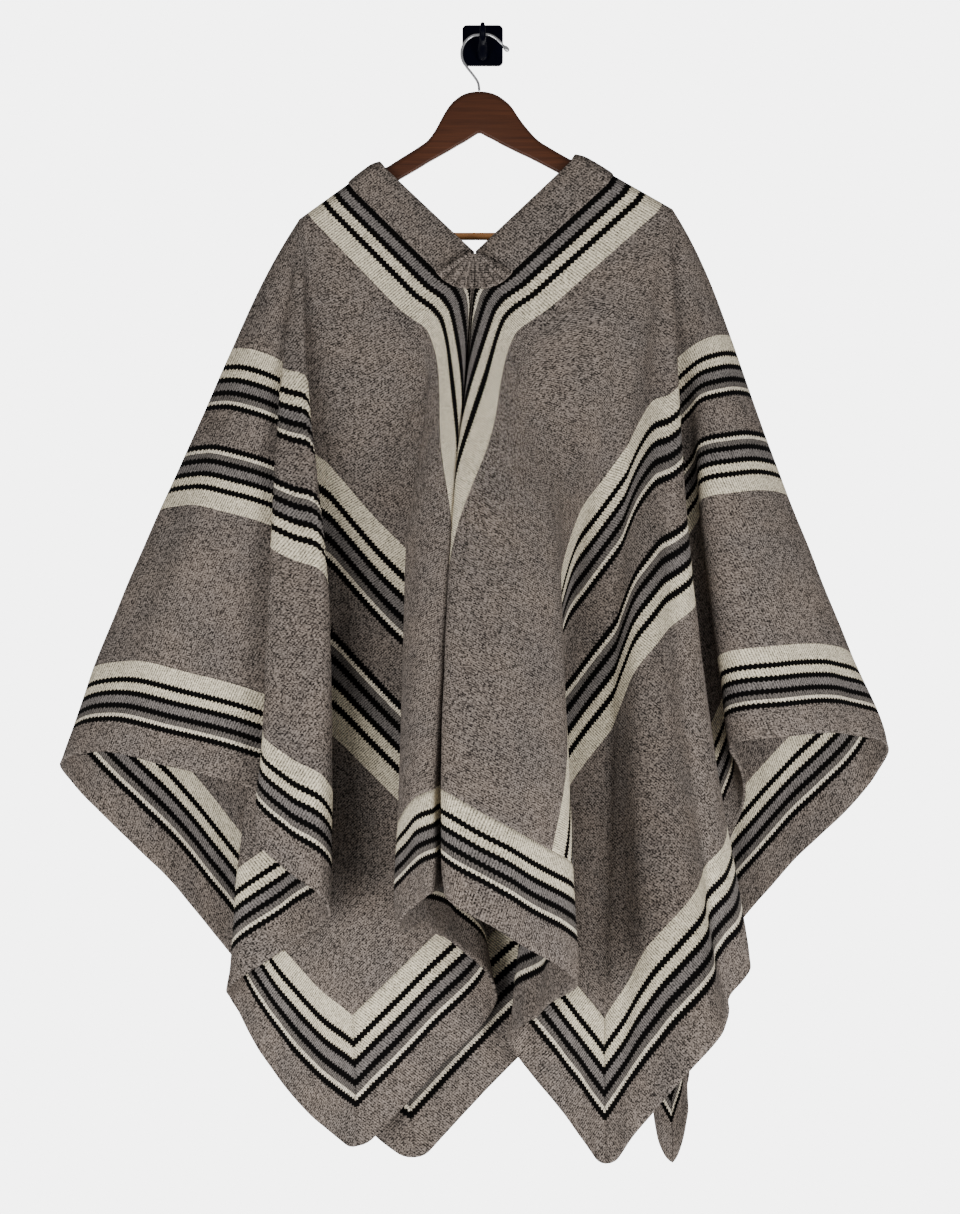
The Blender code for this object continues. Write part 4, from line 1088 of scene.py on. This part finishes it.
def varnished(name, dark, light, grain_pitch, roughness, under=None):
    """Varnished wood with its grain along x; under is a colour for painted shade on its lower side.
    """
    made = Finish(name, Specular_IOR_Level=0.2, Coat_Weight=0.06, Coat_Roughness=0.18)
    *_, z, spot = made.body_place()
    grain = made.noise(made.stretched(spot, 0.045, 1, 1), grain_pitch, 4.0, 0.62)
    fine = made.noise(made.stretched(spot, 0.02, 1, 1), grain_pitch * 0.28)
    share = ((grain - 0.5) * 1.3 + (fine - 0.5) * 0.5 + 0.5).rise(0.0, 1.0)
    tone = colour_mix(share, dark, light)
    if under is not None:
        # painted shade: below the bar's middle the wood is mixed towards the under colour, a painted
        # shadow on its lower side
        low = 1 - z.rise(BAR_HEIGHT - BAR_RADIUS, BAR_HEIGHT + 0.5)
        tone = colour_mix(low * 0.8, tone, under)
    made.set(Base_Color=tone, Roughness=roughness + (fine - 0.5) * 0.12)
    made.bump(fine, 0.08, 0.5)
    return made.material


def chrome(name):
    """Bright metal with faint upright streaks."""
    made = Finish(name, Metallic=1.0)
    drawn = made.noise(made.stretched(made.body_place()[3], 1, 1, 0.3), 1.2, 3.0, 0.6)
    made.set(Base_Color=colour_mix(drawn, from_srgb(150, 150, 152), from_srgb(196, 196, 198)),
             Roughness=0.18 + drawn * 0.14)
    made.bump(drawn, 0.02, 0.4)
    return made.material


def enamel(name):
    """Glossy blue-black enamel."""
    made = Finish(name, Specular_IOR_Level=0.03)
    spot = made.body_place()[3]
    wear = made.noise(spot, 18.0, 3.0, 0.6)
    made.set(Base_Color=colour_mix(wear, from_srgb(1, 1, 7), from_srgb(3, 4, 18)),
             Roughness=0.26 + wear * 0.14)
    made.bump(made.noise(spot, 5.0), 0.05, 0.3)
    return made.material


# ---- Settings and operators ----
def colour_of(what, *parts):
    """A property for the colour of a piece, from 0-255 parts."""
    return bpy.props.FloatVectorProperty(
        name=what, description=f"Colour of the {what.lower()}", size=3, subtype="COLOR",
        min=0.0, max=1.0, default=from_srgb(*parts))


def power_of(what, about, watts):
    """A property for the power of a light."""
    return bpy.props.FloatProperty(name=what, description=about, default=watts, min=0.0,
                                   max=500.0, subtype="POWER", unit="POWER")


class ClothSettings(bpy.types.PropertyGroup):
    """How the cloth is made and laid."""

    wall: bpy.props.FloatProperty(
        name="Thickness", description="Thickness of the woollen cloth", default=WALL * MM,
        min=0.001, max=0.004, subtype="DISTANCE", unit="LENGTH")
    mesh_step: bpy.props.FloatProperty(
        name="Mesh step", description="Distance between the cloth's mesh lines",
        default=0.006, min=0.003, max=0.03, subtype="DISTANCE", unit="LENGTH")
    plain: colour_of("Plain wool", 93, 86, 81)
    plain_warm: colour_of("Warm patches of the plain wool", 98, 89, 82)
    white: colour_of("White stripe", 194, 184, 165)
    cream: colour_of("Cream stripe", 188, 178, 156)
    dark_grey: colour_of("Dark grey stripe", 84, 79, 75)
    cool_grey: colour_of("Cool grey stripe", 97, 92, 89)
    black: colour_of("Black lines", 3, 2, 2)


class HangerSettings(bpy.types.PropertyGroup):
    """Colours of the wood, and of the painted shade under the bar."""

    dark: colour_of("Hanger's grain", 40, 17, 6)
    light: colour_of("Hanger's wood", 80, 42, 20)
    bar_dark: colour_of("Bar's grain", 160, 102, 56)
    bar_light: colour_of("Bar's wood", 206, 148, 92)
    # painted shade on the bar's lower side, not a colour of the wood
    bar_painted_shade: colour_of("Painted shade under the bar", 96, 56, 30)


class StageSettings(bpy.types.PropertyGroup):
    """The floor and lights round the poncho."""

    floor_drop: bpy.props.FloatProperty(
        name="Floor drop", description="From the lowest corner of the cloth to the floor",
        default=FLOOR_DROP, min=0.0, max=2.0, subtype="DISTANCE", unit="LENGTH")
    key_power: power_of("Key light", "Power of the soft light on the right", 42.0)
    fill_power: power_of("Fill light", "Power of the soft light on the left", 36.0)
    back_power: power_of("Back light", "Power of the soft light behind the poncho", 45.0)
    sky: bpy.props.FloatProperty(
        name="Sky", description="Strength of the even light from all round",
        default=0.5, min=0.0, max=4.0)
    backdrop: bpy.props.FloatProperty(
        name="Backdrop", description="How bright the empty background looks",
        default=5.5, min=0.0, max=20.0)


class PONCHO_OT_lengths(bpy.types.Operator):
    """Weave and hang the two lengths of cloth with their hem strips"""

    bl_idname = "poncho.lengths"
    bl_label = "Lengths and hems"

    def execute(self, context):
        settings = context.scene.poncho_cloth
        step = settings.mesh_step / MM
        body_cloth = woven("striped_wool", "body", settings)
        hem_cloth = woven("hem_wool", "hem", settings)
        for side in ("left", "right"):
            drape = Drape(side)
            mesh = skin(f"poncho_{side}", *body_rows(side, drape, step))
            body = show(f"poncho_{side}", mesh, body_cloth, "cloth", f"body_{side}")
            thicken(body, settings.wall)
            hems = []
            for face, way in (("front", 1), ("back", -1)):
                name = f"border_{face}_{side}"
                mesh = skin(name, *hem_rows(side, way, drape, step))
                hems.append(show(name, mesh, hem_cloth, "cloth", f"hem_{face}_{side}"))
                thicken(hems[-1], settings.wall)
        return {"FINISHED"}


class PONCHO_OT_collar(bpy.types.Operator):
    """Fold the two collar bands over the edges of the neck slit"""

    bl_idname = "poncho.collar"
    bl_label = "Collar bands"

    def execute(self, context):
        wool = woven("collar_wool", "none", context.scene.poncho_cloth)
        for side in ("left", "right"):
            mesh = skin(f"neck_band_{side}", *collar_rows(side), around=True)
            band = show(f"neck_band_{side}", mesh, wool, "band", f"collar_{side}")
        return {"FINISHED"}


class PONCHO_OT_fan(bpy.types.Operator):
    """Pleat the small fan over the end of the neck slit"""

    bl_idname = "poncho.fan"
    bl_label = "Neck fan"

    def execute(self, context):
        wool = woven("fan_wool", "none", context.scene.poncho_cloth)
        mesh = skin("pleated_fan", *fan_rows(fan_plane(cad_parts["neck_fan"])))
        fan = show("pleated_fan", mesh, wool, "fan", "neck_fan")
        thicken(fan, FAN_WALL * MM)
        return {"FINISHED"}


class PONCHO_OT_hanger(bpy.types.Operator):
    """Shape the wooden hanger and its trouser bar"""

    bl_idname = "poncho.hanger"
    bl_label = "Hanger and bar"

    def execute(self, context):
        wood = context.scene.poncho_hanger
        mesh = skin("coat_hanger", hanger_rows(), around=True)
        mesh.set_sharp_from_angle(angle=math.radians(50))
        finish = varnished("dark_walnut", wood.dark, wood.light, 5.0, 0.5)
        show("coat_hanger", mesh, finish, "dark_wood", "hanger")
        finish = varnished("honey_wood", wood.bar_dark, wood.bar_light, 3.0, 0.38, wood.bar_painted_shade)
        bar = skin("hanger_bar", bar_rows(), around=True)
        show("hanger_bar", bar, finish, "bar_wood", "trouser_bar")
        return {"FINISHED"}


class PONCHO_OT_hook(bpy.types.Operator):
    """Bend the hook wire over the prong of the wall plate"""

    bl_idname = "poncho.hook"
    bl_label = "Hook and plate"

    def execute(self, context):
        path = smooth_path([(x, -HANG_DEPTH, z, WIRE_RADIUS * share) for x, z, share in WIRE], 1.2)
        wire = skin("hook_wire", tube_rows(path, (0, 1, 0), 24), around=True)
        show("hook_wire", wire, chrome("bright_wire"), "wire", "hanger_hook")
        plate = plate_mesh("wall_plate")
        show("wall_plate", plate, enamel("blue_black_enamel"), "plate", "wall_hook")
        return {"FINISHED"}


class PONCHO_OT_stage(bpy.types.Operator):
    """Set out a pale floor, soft studio light and the camera"""

    bl_idname = "poncho.stage"
    bl_label = "Stage"

    def execute(self, context):
        settings = context.scene.poncho_stage
        work = bmesh.new()
        bmesh.ops.create_circle(work, cap_ends=True, segments=96, radius=FLOOR_RADIUS)
        lowest = CAD_BOX[0][2]
        bmesh.ops.translate(work, verts=work.verts,
                            vec=(0, FLOOR_CENTRE, lowest - settings.floor_drop))
        floor = link("floor", finished(work, "floor"))
        pale = Finish("pale_floor", Roughness=0.8, Base_Color=(0.82, 0.82, 0.82, 1))
        floor.data.materials.append(pale.material)

        world = bpy.data.worlds.new("studio")
        context.scene.world = world
        world.use_nodes = True
        back = world.node_tree.nodes["Background"]
        sky = Value(world.node_tree)
        seen = sky.of(sky.node("ShaderNodeLightPath").outputs["Is Camera Ray"])
        back.inputs["Color"].default_value = (1, 1, 1, 1)
        sky.feed(back.inputs["Strength"], seen * (settings.backdrop - settings.sky) + settings.sky)

        for name, *place, size in LIGHTS:
            lamp = bpy.data.lights.new(name, "AREA")
            lamp.shape = "SQUARE"
            lamp.size = size
            lamp.energy = getattr(settings, name + "_power")
            light = link(name, lamp)
            light.location = place
            towards = Vector(LIGHTS_AIM) - Vector(place)
            light.rotation_euler = towards.to_track_quat("-Z", "Y").to_euler()

        lens = bpy.data.cameras.new("front")
        lens.sensor_fit = "VERTICAL"
        lens.sensor_height = 24.0
        lens.lens = lens.sensor_height * VIEW_DISTANCE / VIEW_HEIGHT
        camera = link("front", lens)
        camera.location = (VIEW_CENTRE[0], VIEW_PLANE - VIEW_DISTANCE, VIEW_CENTRE[1])
        camera.rotation_euler = (math.pi / 2, 0, 0)
        context.scene.camera = camera
        return {"FINISHED"}


SETTINGS = {"poncho_cloth": ClothSettings, "poncho_hanger": HangerSettings,
            "poncho_stage": StageSettings}
OPERATORS = (PONCHO_OT_hanger, PONCHO_OT_hook, PONCHO_OT_lengths, PONCHO_OT_collar,
             PONCHO_OT_fan, PONCHO_OT_stage)


class PONCHO_PT_panel(bpy.types.Panel):
    """Settings of the poncho and buttons that make each group of pieces"""

    bl_label = "Andean poncho"
    bl_idname = "PONCHO_PT_panel"
    bl_space_type = "VIEW_3D"
    bl_region_type = "UI"
    bl_category = "Poncho"

    def draw(self, context):
        column = self.layout.column()
        for group, kind in SETTINGS.items():
            for name in kind.__annotations__:
                column.prop(getattr(context.scene, group), name)
            column.separator()
        for operator in OPERATORS:
            column.operator(operator.bl_idname)


CLASSES = (*SETTINGS.values(), *OPERATORS, PONCHO_PT_panel)


def register():
    for made in CLASSES:
        bpy.utils.register_class(made)
    for group, kind in SETTINGS.items():
        setattr(bpy.types.Scene, group, bpy.props.PointerProperty(type=kind))


def unregister():
    for group in SETTINGS:
        delattr(bpy.types.Scene, group)
    for made in reversed(CLASSES):
        bpy.utils.unregister_class(made)


def main():
    register()
    bpy.ops.poncho.hanger()
    bpy.ops.poncho.hook()
    bpy.ops.poncho.lengths()
    bpy.ops.poncho.collar()
    bpy.ops.poncho.fan()
    bpy.ops.poncho.stage()


if __name__ == "__main__":
    main()
